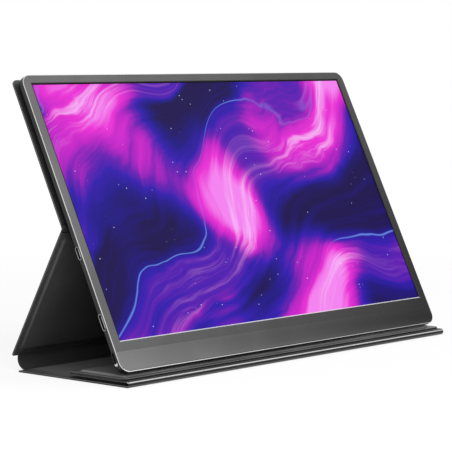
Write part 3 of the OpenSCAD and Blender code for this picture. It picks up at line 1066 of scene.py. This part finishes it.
@dataclass
class Panel:
    """One stiff panel of the cover: a leather skin, and a lining that a board lifts in the middle.

    Panel and body have the same name. Along y, r0 and r1 are the corner radii at y0 and y1.
    """

    name: str
    matrix: Matrix
    y0: float
    y1: float
    r0: float
    r1: float
    slope_steps: int = 8
    round_steps: int = 4
    edge_round: float = 0.28
    skin_edge_round: float = 0.392
    skin_rim_round: float = 0.06
    wall_normal_z: float = 0.3
    board_corner: float = 2.0
    # whether the panel's end edges and slope take painted highlight
    rubbed_end: bool = False
    # the flat border's finish; the default is lighter than the skin, a painted sheen
    border: Finish = Finish.PRESSED

    def outline(self) -> Outline:
        """The panel's outer edge."""
        return Outline(STAND.cover_w, self.y0, self.y1, self.r0, self.r1)

    def build(self) -> list[Object]:
        """Makes the skin and the lining, which stand for the construction's.

        Returns:
            The two pieces.
        """
        # painted light on the lining: a painted sheen on the flat border, painted highlight on the
        # rounded edges at the sides, and on a highlighted end also on its edges and slope
        slope = Finish.CREASED if self.rubbed_end else self.border
        zones = [Finish.LINING, self.border, Finish.RUBBED, Finish.PAINTED, slope]
        skin = as_piece(self.skin_mesh(), f"{self.name}_outer_leather", self.matrix,
                        [Finish.SKIN, Finish.PAINTED])
        lining = as_piece(self.lining_mesh(), f"{self.name}_inner_lining", self.matrix, zones)
        return [dress(skin, self.name, f"{self.name}_skin"),
                dress(lining, self.name, f"{self.name}_lining")]

    def skin_mesh(self) -> BMesh:
        """The outer leather, turned round at its edge.

        Returns:
            The mesh.
        """
        bm = slab(self.outline(), STAND.skin_t, 0.0, self.skin_rim_round, self.skin_edge_round)
        for face in bm.faces:
            face.material_index = int(abs(face.normal.z) < self.wall_normal_z)
        return bm

    def lining_mesh(self) -> BMesh:
        """The lining, pressed flat along the border and lifted over the board.

        Returns:
            The mesh.
        """
        edge = self.outline()
        levels = [(edge, STAND.skin_t + STAND.fit)]
        for step in range(self.round_steps + 1):
            turn = math.pi / 2 * step / self.round_steps
            drawn_in = self.edge_round * (1 - math.cos(turn))
            height = STAND.flange_t - self.edge_round * (1 - math.sin(turn))
            levels.append((edge.inset(drawn_in), height))
        for step in range(self.slope_steps + 1):
            share = step / self.slope_steps
            raised = edge.inset(STAND.flange_w + STAND.slope_w * share)
            raised = replace(raised, r0=self.board_corner, r1=self.board_corner)
            rise = STAND.board_rise * share * share * (3 - 2 * share)
            levels.append((raised, STAND.flange_t + rise))
        bm = loft(levels)
        for face in bm.faces:
            centre = face.calc_center_median()
            at_side = abs(centre.x) > STAND.cover_w / 2 - STAND.flange_w
            face.material_index = self.zone(centre.z, at_side)
        return bm

    def zone(self, height: float, at_side: bool) -> Zone:
        """Which zone of the lining a face belongs to.

        Args:
            height: height of the face's middle.
            at_side: whether it lies at a side of the cover.

        Returns:
            The zone.
        """
        if height < STAND.flange_t - self.edge_round:
            return Zone.PAINTED_EDGE
        if height < STAND.flange_t - HAIR:
            # rounded edges at the sides, and all round a highlighted end, take painted highlight
            return Zone.RUBBED_EDGE if at_side or self.rubbed_end else Zone.PAINTED_EDGE
        if height < STAND.flange_t + HAIR:
            return Zone.BORDER
        return Zone.SLOPE if height < STAND.panel_t - HAIR else Zone.MIDDLE


@dataclass
class Strip:
    """A soft strip of the cover between two panels, swept across it.

    Its start, end, core and path are points of the side view; its start and end are not used. Its
    wall lies on the core's side of the path.
    """

    name: str
    node: str
    bodies: tuple[str, str]
    start: Point
    end: Point
    core: Point
    path: list[Point]
    thickness: float
    width: float
    finish: Finish = Finish.SKIN
    stations: int = 24
    edge_round: float = 0.25
    sharp: float = 1.0

    def build(self) -> list[Object]:
        """Makes the strip where it lies and hides the construction's node that it stands for.

        Returns:
            The piece, alone in a list.
        """
        piece = as_piece(self.mesh(), self.name, Matrix.Identity(4), [self.finish])
        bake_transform(piece)
        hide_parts(self.node)
        return [piece]

    def mesh(self) -> BMesh:
        """Sweeps the path across the cover and gives it its wall.

        Returns:
            The mesh, in the row frame.
        """
        bm = bmesh.new()
        path = [STAND.side_point(*at) for at in self.path]
        across = [x * self.width / self.stations - self.width / 2 for x in range(self.stations + 1)]
        first = [bm.verts.new((x, *path[0].yz)) for x in across]
        edges = [bm.edges.new(pair) for pair in zip(first, first[1:])]
        for at, following in zip(path, path[1:]):
            made = bmesh.ops.extrude_edge_only(bm, edges=edges)["geom"]
            edges = [g for g in made if isinstance(g, BMEdge)]
            moved = [g for g in made if isinstance(g, BMVert)]
            bmesh.ops.translate(bm, vec=following - at, verts=moved)
        bmesh.ops.recalc_face_normals(bm, faces=bm.faces)
        self.turn_outwards(bm, path[len(path) // 2])
        bmesh.ops.solidify(bm, geom=bm.faces[:], thickness=self.thickness)
        bmesh.ops.recalc_face_normals(bm, faces=bm.faces)
        sharp = [e for e in bm.edges
                 if len(e.link_faces) == 2 and e.calc_face_angle(0.0) > self.sharp]
        round_edges(bm, sharp, min(self.edge_round, self.thickness / 4), segments=3)
        self.unwrap(bm)
        return bm

    def turn_outwards(self, bm: BMesh, middle: Vector) -> None:
        """Turns the swept faces away from the core, so that the wall grows towards it.

        Args:
            bm: the swept mesh.
            middle: the middle of the path.
        """
        nearest = min(bm.faces, key=lambda f: (f.calc_center_median() - middle).length)
        core = STAND.side_point(*self.core)
        if nearest.normal.dot(core - nearest.calc_center_median()) > 0:
            bmesh.ops.reverse_faces(bm, faces=bm.faces)

    def unwrap(self, bm: BMesh) -> None:
        """Gives the strip a UV map: across the cover, and up the strip as it lies at rest.

        Args:
            bm: the mesh.
        """
        low, high = (pick(v.co.z for v in bm.verts) for pick in (min, max))
        layer = bm.loops.layers.uv.new("UVMap")
        for face in bm.faces:
            for loop in face.loops:
                at = loop.vert.co
                loop[layer].uv = (at.x / self.width + 0.5, (at.z - low) / (high - low))


def arc(centre: Point, radius: float, start: float, end: float, steps: int) -> list[Point]:
    """Points on an arc of the side view.

    Args:
        centre: its centre.
        radius: its radius.
        start: angle of the first point, in degrees.
        end: angle of the last point, in degrees.
        steps: steps between them.

    Returns:
        The points.
    """
    turns = [math.radians(start + (end - start) * i / steps) for i in range(steps + 1)]
    return [(centre[0] + radius * math.cos(t), centre[1] + radius * math.sin(t)) for t in turns]


@dataclass
class Cover:
    """The folding cover: five panels and the four strips that join them."""

    stand: Stand = STAND
    tight_r: float = 0.6
    soft_r: float = 1.5
    roll_ease: float = 2.0
    bend_air: float = 0.12
    spine_out: float = 0.65
    spine_skin: float = 0.5
    spine_side_gap: float = 1.0
    spine_ease: float = 1.0
    spine_bent: float = 0.85

    def build(self) -> list[Object]:
        """Makes all panels and strips.

        Returns:
            Their pieces.
        """
        strips = [self.front_roll(), self.flap_bend(), self.stand_fold(), self.spine()]
        return [piece for part in (*self.panels(), *strips) for piece in part.build()]

    def panels(self) -> list[Panel]:
        """The five panels.

        Returns:
            The panels, from the top of the cover to its far flap.
        """
        s, tight, soft = self.stand, self.tight_r, self.soft_r
        return [
            Panel("upper", s.at_upper(), s.crease_half, s.mon_h - s.fold_v, tight,
                  s.cover_corner_r, border=Finish.SKIN),
            Panel("support", s.at_support(), s.crease_half, s.support_len, tight, soft),
            Panel("base", s.at_base(), 0.0, s.base_len, tight, soft),
            Panel("flap_1", s.at_flap_1(), 0.0, s.flap_1_len, tight, tight),
            Panel("flap_2", s.at_flap_2(), 0.0, s.flap_2_len, s.cover_corner_r, tight,
                  rubbed_end=True),
        ]

    def front_roll(self) -> Strip:
        """The round bend from the base to the first flap.

        Returns:
            The strip.
        """
        s = self.stand
        y, radius = s.base_front - s.fit, s.roll_r
        first, last = 270.0 - self.roll_ease, 90.0 + self.roll_ease
        turned = arc((y, radius), radius, first, last, steps=22)
        hollow = radius - s.flange_t
        return Strip("front_roll_leather", "front_crease", ("base", "flap_1"),
                     (y, radius - hollow), (y, radius + hollow), (y, radius),
                     [(y, 0.0), *turned, (y, 2 * radius)], s.flange_t, s.cover_w, Finish.ROLLED)

    def flap_bend(self) -> Strip:
        """The tight bend from the first flap to the second.

        Returns:
            The strip.
        """
        s = self.stand
        y, z = s.base_front + s.flap_1_len + s.fit, 2 * s.panel_t + 1.5 * s.layer_gap
        radius = s.flange_t + s.layer_gap / 2
        return Strip("flap_bend_leather", "flap_crease", ("flap_1", "flap_2"),
                     (y, z - radius), (y, z + radius), (y, z),
                     arc((y, z), radius, -90.0, 90.0, steps=14), radius - self.bend_air,
                     s.cover_w)

    def stand_fold(self) -> Strip:
        """The fold behind the monitor, from the support to the upper panel.

        Returns:
            The strip.
        """
        s = self.stand
        tilt, lean = math.radians(s.tilt), math.radians(s.lean)
        reach = s.crease_half - s.fit
        apex = Vector(s.apex)
        up = Vector((math.cos(tilt), math.sin(tilt))) * reach
        down = Vector((math.cos(lean), -math.sin(lean))) * reach
        bend = arc(tuple(apex), s.flange_t - s.fit, 270.0 - s.lean, 90.0 + s.tilt, steps=10)
        path = [tuple(Vector(bend[0]) + down), *bend, tuple(Vector(bend[-1]) + up)]
        return Strip("stand_fold_leather", "stand_crease", ("support", "upper"),
                     tuple(apex + down), tuple(apex + up), tuple(apex), path,
                     s.flange_t - 2 * s.fit, s.cover_w, Finish.FOLD)

    def spine(self) -> Strip:
        """The soft spine that bulges from the base to the support panel.

        Returns:
            The strip.
        """
        s = self.stand
        lean = math.radians(s.lean)
        mid = s.flange_t + s.board_rise / 2
        a = Vector((s.foot_y - s.spine_reach * math.cos(lean) - mid * math.sin(lean),
                    s.foot_h + s.spine_reach * math.sin(lean) - mid * math.cos(lean)))
        b = Vector((s.foot_y - s.foot_overhang - s.spine_reach, mid))
        turn = 180.0 - s.lean
        half = math.radians(turn / 2)
        radius = (b - a).length / 2 / math.sin(half)
        heading = math.degrees(math.atan2(b.y - a.y, b.x - a.x))
        side = math.radians(heading - 90)
        away = Vector((math.cos(side), math.sin(side)))
        centre = tuple((a + b) / 2 + radius * math.cos(half) * away)
        first = heading + 90 + turn / 2
        path = arc(centre, radius + self.spine_out, first - self.spine_ease,
                   first - turn + self.spine_ease, steps=24)
        width = s.cover_w - 2 * (s.flange_w + self.spine_side_gap)
        return Strip("spine_leather", "spine_strip", ("base", "support"),
                     tuple(b), tuple(b + self.spine_bent * (a - b)), centre, path,
                     self.spine_skin, width, Finish.FOLD)


# Monitor


class Side(IntEnum):
    """A side of the monitor, seen from the front, as the sign of its X."""

    LEFT = -1
    RIGHT = 1


class Bezel(IntEnum):
    """A zone of the front plate, in the order of its finishes."""

    FACE = 0
    RIM = 1
    LIP = 2
    GASKET = 3


@dataclass
class Monitor:
    """The monitor: frame, screen, edge, back, ports and buttons."""

    stand: Stand = STAND
    corner_r: float = 8.0
    edge_chamfer: float = 0.6
    window_chamfer: float = 0.5
    lip_extra: float = 0.4
    lip_reach: float = 1.2
    chin_band_t: float = 0.4
    chin_band_margin: float = 0.2
    chin_band_round: float = 0.06
    side_wall: float = 1.2
    side_round: float = 1.3
    shell_slope: float = 6.0
    shell_inset: float = 0.3
    shell_round: float = 1.2
    panel_border: float = 1.2
    panel_t: float = 0.7
    port_depth: float = 3.1
    port_t: float = 2.6
    port_wall: float = 0.25
    usb_c_v: float = 89.0
    usb_c_l: float = 9.0
    mini_hdmi_v: float = 38.0
    mini_hdmi_l: float = 11.6
    power_v: float = 50.0
    power_l: float = 8.4
    menu_v: float = 68.0
    menu_l: float = 16.4
    key_t: float = 2.4
    jack_v: float = 30.0
    jack_d: float = 3.5
    speaker_v: float = 11.5
    speaker_slot_l: float = 8.5
    speaker_slot_t: float = 1.8
    trim_proud: float = 0.12
    trim_l: float = 10.1
    trim_t: float = 2.7
    trim_low: float = 0.4
    trim_bore_l: float = 8.3
    trim_bore_t: float = 1.5
    trim_bore_high: float = 0.1
    trim_root: float = 1.0
    # how far above the slot's lower end the painted highlight of bright metal reaches
    trim_bright: float = 0.9
    clear: float = 2.0  # how far a cutter stands out of what it cuts
    bar_half: float = 3.0
    flat_normal_z: float = 0.97
    lip_normal_y: float = 0.3
    rim_normal_z: Point = (0.35, 0.995)
    side_rim_normal_z: Point = (0.4, 0.97)

    @property
    def place(self) -> Matrix:
        """From the monitor's own frame to the row frame."""
        return self.stand.on_stand()

    def build(self) -> list[Object]:
        """Makes all pieces of the monitor.

        Returns:
            The pieces.
        """
        pieces = [self.front(), self.band(), self.edge(), self.back(), self.screen()]
        return pieces + [self.speaker_trim(side) for side in Side]

    def outline(self, inset: float = 0.0) -> Outline:
        """The monitor's outline from the front, drawn in."""
        s = self.stand
        return Outline(s.mon_w, 0.0, s.mon_h, self.corner_r, self.corner_r).inset(inset)

    def window(self, grow: float = 0.0) -> Outline:
        """The picture opening.

        Args:
            grow: how far it is let out on each side.

        Returns:
            The outline.
        """
        s = self.stand
        low, high = s.chin_h - grow, s.chin_h + s.screen_h + grow
        return Outline(s.screen_w + 2 * grow, low, high, SHARP_CORNER, SHARP_CORNER)

    def band_outline(self, gap: float) -> Outline:
        """The chin band inside the rim, drawn in by a gap."""
        whole = self.outline(self.edge_chamfer + self.chin_band_margin + gap)
        return replace(whole, y1=self.stand.chin_band_h - gap, r1=2 * SHARP_CORNER)

    def cutter(self, bm: BMesh) -> Object:
        """A piece to cut with, from its mesh in the monitor's own frame."""
        return as_piece(bm, "cutter", self.place, [Finish.SIDE])

    def bar(self, side: Side, v: float, length: float, thick: float, name: str = "cutter",
            finish: Finish = Finish.SIDE) -> Object:
        """A bar with round ends that lies across a side wall.

        Args:
            side: the side of the monitor.
            v: height of its middle along the monitor.
            length: its length along the side.
            thick: its width.
            name: the piece's name.
            finish: its finish.

        Returns:
            The piece.
        """
        reach, radius = self.bar_half, thick / 2 - HAIR
        bm = bmesh.new()
        outline = Outline(thick, -length / 2, length / 2, radius, radius)
        face = outline.face(bm, 0.0, segments=10)
        extrude_down(bm, face, 2 * reach)
        wall = Matrix.Translation((side * (self.stand.mon_w / 2 - reach), v, -self.port_depth))
        turned = wall @ Matrix.Rotation(math.radians(90.0), 4, "Y")
        turned = turned @ Matrix.Translation((0.0, 0.0, reach))
        moved = Matrix.Translation((0.0, 0.0, side * reach))
        return as_piece(bm, name, self.place @ turned @ moved, [finish])

    def front(self) -> Object:
        """The front plate: satin face, bright cut rim, and a lip round the picture made bright with
        painted highlight.

        Returns:
            The piece.
        """
        s, chamfer = self.stand, self.window_chamfer
        bm = slab(self.outline(), 0.0, -s.frame_t)
        round_edges(bm, edges_at(bm, 0.0), self.edge_chamfer, segments=5)
        finishes = [Finish.FRAME, Finish.RIM, Finish.LIP, Finish.GASKET]
        piece = as_piece(bm, "front_bezel", self.place, finishes)
        hole = slab(self.window(), self.clear, -(s.frame_t + self.clear))
        mouth = self.window(2 * chamfer)
        flare = slab(replace(mouth, y0=mouth.y0 - self.lip_extra), chamfer, -2 * chamfer)
        size = (s.screen_w + 4 * chamfer, s.screen_h + 4 * chamfer)
        taper(flare, -chamfer, s.chin_h + s.screen_h / 2, size, 3 * chamfer)
        seat = slab(self.band_outline(0.0), self.clear, -(self.chin_band_t + s.fit))
        cut(piece, [self.cutter(bm) for bm in (hole, flare, seat)])
        self.brighten_rim(piece)
        return dress(piece, "monitor", "front_frame")

    def brighten_rim(self, piece: Object) -> None:
        """Gives the rounded rim its polished finish, the opening's upward lip a painted highlight,
        and the opening's other walls painted shade.

        Args:
            piece: the cut front plate.
        """
        s = self.stand
        back = self.place.inverted()
        turn = back.to_3x3()
        for polygon in piece.data.polygons:
            normal = turn @ polygon.normal
            at = back @ (polygon.center / MM)
            inside = (abs(at.x) < s.screen_w / 2 + self.lip_reach
                      and abs(at.y - s.chin_h - s.screen_h / 2) < s.screen_h / 2 + self.lip_reach)
            lengthwise = abs(normal.y) > abs(normal.x)
            low, high = self.rim_normal_z if lengthwise else self.side_rim_normal_z
            # walls of the opening that face up take painted highlight, the others painted shade
            if inside and normal.z < self.flat_normal_z:
                polygon.material_index = Bezel.LIP if normal.y > self.lip_normal_y else Bezel.GASKET
            else:
                polygon.material_index = Bezel.RIM if low < normal.z < high else Bezel.FACE

    def band(self) -> Object:
        """The lighter band of the chin.

        Returns:
            The piece.
        """
        outline = self.band_outline(self.stand.fit)
        bm = slab(outline, 0.0, -self.chin_band_t, self.chin_band_round)
        piece = as_piece(bm, "chin_band_plate", self.place, [Finish.CHIN])
        return dress(piece, "monitor", "chin_band")

    def edge(self) -> Object:
        """The edge ring, rounded towards the back, with its openings.

        Returns:
            The piece.
        """
        s = self.stand
        bm = slab(self.outline(), -(s.frame_t + s.fit), -s.side_depth)
        round_edges(bm, edges_at(bm, -s.side_depth), self.side_round, segments=8)
        piece = as_piece(bm, "edge_ring", self.place, [Finish.SIDE])
        inner = slab(self.outline(self.side_wall), self.clear, -(s.side_depth + self.clear))
        grow = 2 * self.port_wall + 2 * s.fit
        openings = (
            (Side.LEFT, self.usb_c_v, self.usb_c_l + grow, self.port_t + grow),
            (Side.LEFT, self.mini_hdmi_v, self.mini_hdmi_l + grow, self.port_t + grow),
            (Side.LEFT, self.speaker_v, self.speaker_slot_l, self.speaker_slot_t),
            (Side.RIGHT, self.speaker_v, self.speaker_slot_l, self.speaker_slot_t),
            (Side.RIGHT, self.power_v, self.power_l, self.key_t),
            (Side.RIGHT, self.menu_v, self.menu_l, self.key_t),
            (Side.RIGHT, self.jack_v, self.jack_d, self.jack_d),
        )
        cut(piece, [self.cutter(inner), *(self.bar(*opening) for opening in openings)])
        return dress(piece, "monitor", "side_frame")

    def back(self) -> Object:
        """The rear shell, sloping in to its flat middle.

        Returns:
            The piece.
        """
        s = self.stand
        bm = bmesh.new()
        face = self.outline(self.shell_inset).face(bm, -(s.side_depth + s.fit))
        extrude_down(bm, face, s.monitor_depth - s.side_depth - s.fit)
        size = (s.mon_w - 2 * self.shell_inset, s.mon_h - 2 * self.shell_inset)
        drawn_in = self.shell_slope - self.shell_inset
        taper(bm, NEAR - s.monitor_depth, s.mon_h / 2, size, drawn_in)
        round_edges(bm, edges_at(bm, -s.monitor_depth), self.shell_round)
        piece = as_piece(bm, "rear_shell_plate", self.place, [Finish.REAR])
        return dress(piece, "monitor", "rear_shell")

    def screen(self) -> Object:
        """The lit panel behind the opening, with its picture.

        Returns:
            The piece.
        """
        s = self.stand
        top = -(s.frame_t + s.fit)
        bm = slab(self.window(self.panel_border), top, top - self.panel_t)
        layer = bm.loops.layers.uv.new("UVMap")
        for face in bm.faces:
            for loop in face.loops:
                x, y, _ = loop.vert.co
                loop[layer].uv = (x / s.screen_w + 0.5, (y - s.chin_h) / s.screen_h)
        piece = as_piece(bm, "screen_panel", self.place, [Finish.PICTURE])
        return dress(piece, "monitor", "screen_glass")

    def speaker_trim(self, side: Side) -> Object:
        """A ring round a speaker slot that stands a little proud and wider at its foot, where its
        bright metal is a painted highlight.

        Args:
            side: the side of the monitor.

        Returns:
            The piece.
        """
        v, floor = self.speaker_v, -(self.stand.monitor_depth + self.clear)
        ring = self.bar(side, v - self.trim_low, self.trim_l, self.trim_t,
                        f"{side.name.lower()}_speaker_trim", Finish.RIM)
        bore = self.bar(side, v + self.trim_bore_high, self.trim_bore_l, self.trim_bore_t)
        rest = self.cutter(slab(self.outline(self.trim_root), self.clear, floor))
        shell = self.cutter(slab(self.outline(-2 * self.clear), self.clear, floor))
        cut(shell, [self.cutter(slab(self.outline(-self.trim_proud), 2 * self.clear,
                                     floor - self.clear))])
        cut(ring, [bore, rest, shell])
        ring.data.materials.append(material_of(Finish.SIDE))
        back = self.place.inverted()
        # below this height the ring is bright polished metal: a painted highlight where light falls
        # on the slot's lower end
        foot = v - self.speaker_slot_l / 2 + self.trim_bright
        for polygon in ring.data.polygons:
            polygon.material_index = int((back @ (polygon.center / MM)).y >= foot)
        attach(ring, "monitor")
        return ring


@dataclass
class Interior:
    """Carried-over pieces, which keep their shape and get their finish."""

    nodes: dict[Finish, tuple[str, ...]] = field(default_factory=lambda: {
        Finish.PORT: ("usb_c_port", "mini_hdmi_port"),
        Finish.PLASTIC: ("headphone_jack", "left_speaker", "right_speaker"),
        Finish.SIDE: ("power_button", "menu_rocker"),
        Finish.FILM: ("diffuser_sheet",),
        Finish.GUIDE: ("light_guide",),
        Finish.LAMPS: ("led_bar",),
        Finish.STEEL: ("back_tray", "latch_plates", "board_screws"),
        Finish.NICKEL: ("magnets",),
        Finish.BOARD: ("driver_board", "main_board", "button_board"),
        Finish.RIBBON: ("screen_flex",),
        Finish.CARD: ("upper_board", "support_board", "base_board", "flap_1_board",
                      "flap_2_board"),
    })

    def build(self) -> list[Object]:
        """Gives each node its material.

        Returns:
            The pieces.
        """
        dressed = []
        for finish, nodes in self.nodes.items():
            for node in nodes:
                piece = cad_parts[node]
                piece.data.materials.clear()
                piece.data.materials.append(material_of(finish))
                dressed.append(piece)
        return dressed


# Studio


@dataclass
class Studio:
    """Camera, floor, soft light, and the card that the metal face mirrors. Sizes in metres."""

    camera_at: Spot = (-1.165375, -1.013754, 0.222261)
    camera_pitch: float = 90.0 - 4.696
    camera_heading: float = -48.565
    lens: float = 164.0
    sensor: float = 36.0
    floor_size: Point = (12.0, 12.0)
    floor_low: float = 0.0002
    floor_grey: float = 0.86
    floor_white: float = 0.8
    floor_fade: Point = (0.3, 0.9)
    ambient: float = 0.62
    lamps: tuple[tuple[str, Spot, float, float], ...] = (
        ("key_box", (-0.9, -0.9, 1.3), 1.1, 22.0),
        ("fill_box", (0.9, -0.8, 1.1), 1.0, 6.0),
    )
    lamp_aim: Spot = (0.0, 0.0, 0.1)
    card_at: Spot = (0.373, -0.230, 0.337)
    card_aim: Spot = (0.0, 0.04, 0.11)
    card_size: Point = (1.2, 0.72)
    card_light: float = 2.4
    card_rise: float = 0.3
    card_across: Point = (6.22, -2.39)  # where the face's right and top lie on the card, a metre
    card_up: Point = (1.91, 3.11)
    card_up_start: float = 0.474
    card_up_end: float = 1.2
    card_range: Point = (-1.6, 1.4)
    card_fade: tuple[tuple[float, float], ...] = (
        (0.0, 1.0), (0.2, 0.79), (0.53, 0.36), (0.87, 0.13), (1.0, 0.08))

    def build(self) -> None:
        """Makes the camera, the floor, the world, the lamps and the card."""
        self.camera()
        self.floor()
        self.world()
        for lamp in self.lamps:
            self.lamp(*lamp)
        self.card()
        bpy.context.scene.view_settings.view_transform = "Standard"

    def camera(self) -> None:
        """The photograph's viewpoint."""
        data = bpy.data.cameras.new("camera")
        data.lens = self.lens
        data.sensor_width = self.sensor
        camera = add_object("camera", data)
        camera.location = self.camera_at
        turn = (self.camera_pitch, 0.0, self.camera_heading)
        camera.rotation_euler = tuple(math.radians(angle) for angle in turn)
        bpy.context.scene.camera = camera

    def sheet(self, size: Point, place: Matrix, surface: Surface) -> Object:
        """A flat rectangle of the studio, which isn't part of the object.

        Args:
            size: its two lengths.
            place: from its own frame to the row frame.
            surface: its material, whose name it takes.

        Returns:
            The rectangle.
        """
        bm = bmesh.new()
        bmesh.ops.create_grid(bm, x_segments=1, y_segments=1, size=0.5)
        bmesh.ops.scale(bm, vec=(*size, 1.0), verts=bm.verts)
        bmesh.ops.transform(bm, matrix=place, verts=bm.verts)
        name = surface.material.name
        sheet = add_object(name, finished_mesh(bm, name))
        sheet.data.materials.append(surface.material)
        return sheet

    def floor(self) -> None:
        """A pale floor that keeps a soft shadow and fades to white around the object."""
        g = Surface("floor")
        g.set(base_color=grey(self.floor_grey), roughness=0.9, specular_ior_level=0.0)
        fade = g.spread(g.vector("LENGTH", g.place()), *self.floor_fade, self.floor_white, 1.0)
        shown = g.product(g.looked_at(), fade)
        g.show(g.choose(shown, g.shader.outputs[0], g.glow(grey(1.0), 1.0)))
        self.sheet(self.floor_size, Matrix.Translation((0.0, 0.0, -self.floor_low)), g)

    def world(self) -> None:
        """Even white surroundings, which light the object less than they show."""
        world = bpy.data.worlds.new("studio")
        bpy.context.scene.world = world
        g = Graph(world, "ShaderNodeOutputWorld")
        soft, shown = (
            g.node("ShaderNodeBackground", {"Color": grey(1.0), "Strength": level}).outputs[0]
            for level in (self.ambient, 1.0))
        g.show(g.choose(g.looked_at(), soft, shown))

    def card(self) -> None:
        """A large card with light fading across it, which only gloss sees: it grades the face."""
        aim = Vector(self.card_aim) - Vector(self.card_at)
        turn = aim.to_track_quat("-Z", "Y").to_matrix().to_4x4()
        side, rise = (turn.to_3x3() @ Vector(axis) for axis in ((1.0, 0.0, 0.0), (0.0, 1.0, 0.0)))
        g = Surface("light_card")
        here = g.vector("SUBTRACT", g.place(), self.card_at)
        across, up = (g.vector("DOT_PRODUCT", here, tuple(part[0] * side + part[1] * rise))
                      for part in (self.card_across, self.card_up))
        low, high = self.card_range
        share = g.node("ShaderNodeMapRange", {"Value": across, "From Min": low, "From Max": high})
        fade = g.ramp(share.outputs["Result"],
                      tuple((place, grey(level)) for place, level in self.card_fade))
        rising = g.spread(g.total(up, self.card_up_start), 0.0, self.card_up_end)
        added = g.product(rising, self.card_rise)
        fade = g.mix(1.0, fade, g.combine(added, added, added), "ADD")
        g.show(g.glow(fade, self.card_light))
        card = self.sheet(self.card_size, Matrix.Translation(self.card_at) @ turn, g)
        for ray in ("camera", "diffuse", "shadow", "transmission"):
            setattr(card, f"visible_{ray}", False)

    def lamp(self, name: str, place: Spot, size: float, power: float) -> None:
        """A square soft lamp that faces the object and isn't mirrored.

        Args:
            name: its name.
            place: where it hangs.
            size: length of its side.
            power: in watts.
        """
        data = bpy.data.lights.new(name, "AREA")
        data.size = size
        data.energy = power
        lamp = add_object(name, data)
        lamp.visible_glossy = False
        lamp.location = place
        aim = Vector(self.lamp_aim) - Vector(place)
        lamp.rotation_euler = aim.to_track_quat("-Z", "Y").to_euler()


def corners(box: tuple[Vector, Vector]) -> list[list[float]]:
    """A box's corners as plain numbers."""
    return [list(box[0]), list(box[1])]


def main() -> None:
    """Builds the object and its studio, and notes each piece as it is made."""
    logging.basicConfig(level=logging.INFO, format="%(name)s: %(message)s")
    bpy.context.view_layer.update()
    Studio().build()
    for part in (Cover(), Monitor(), Interior()):
        for piece in part.build():
            LOG.info("%s made: %s", type(part).__name__, piece.name)


if __name__ == "__main__":
    main()
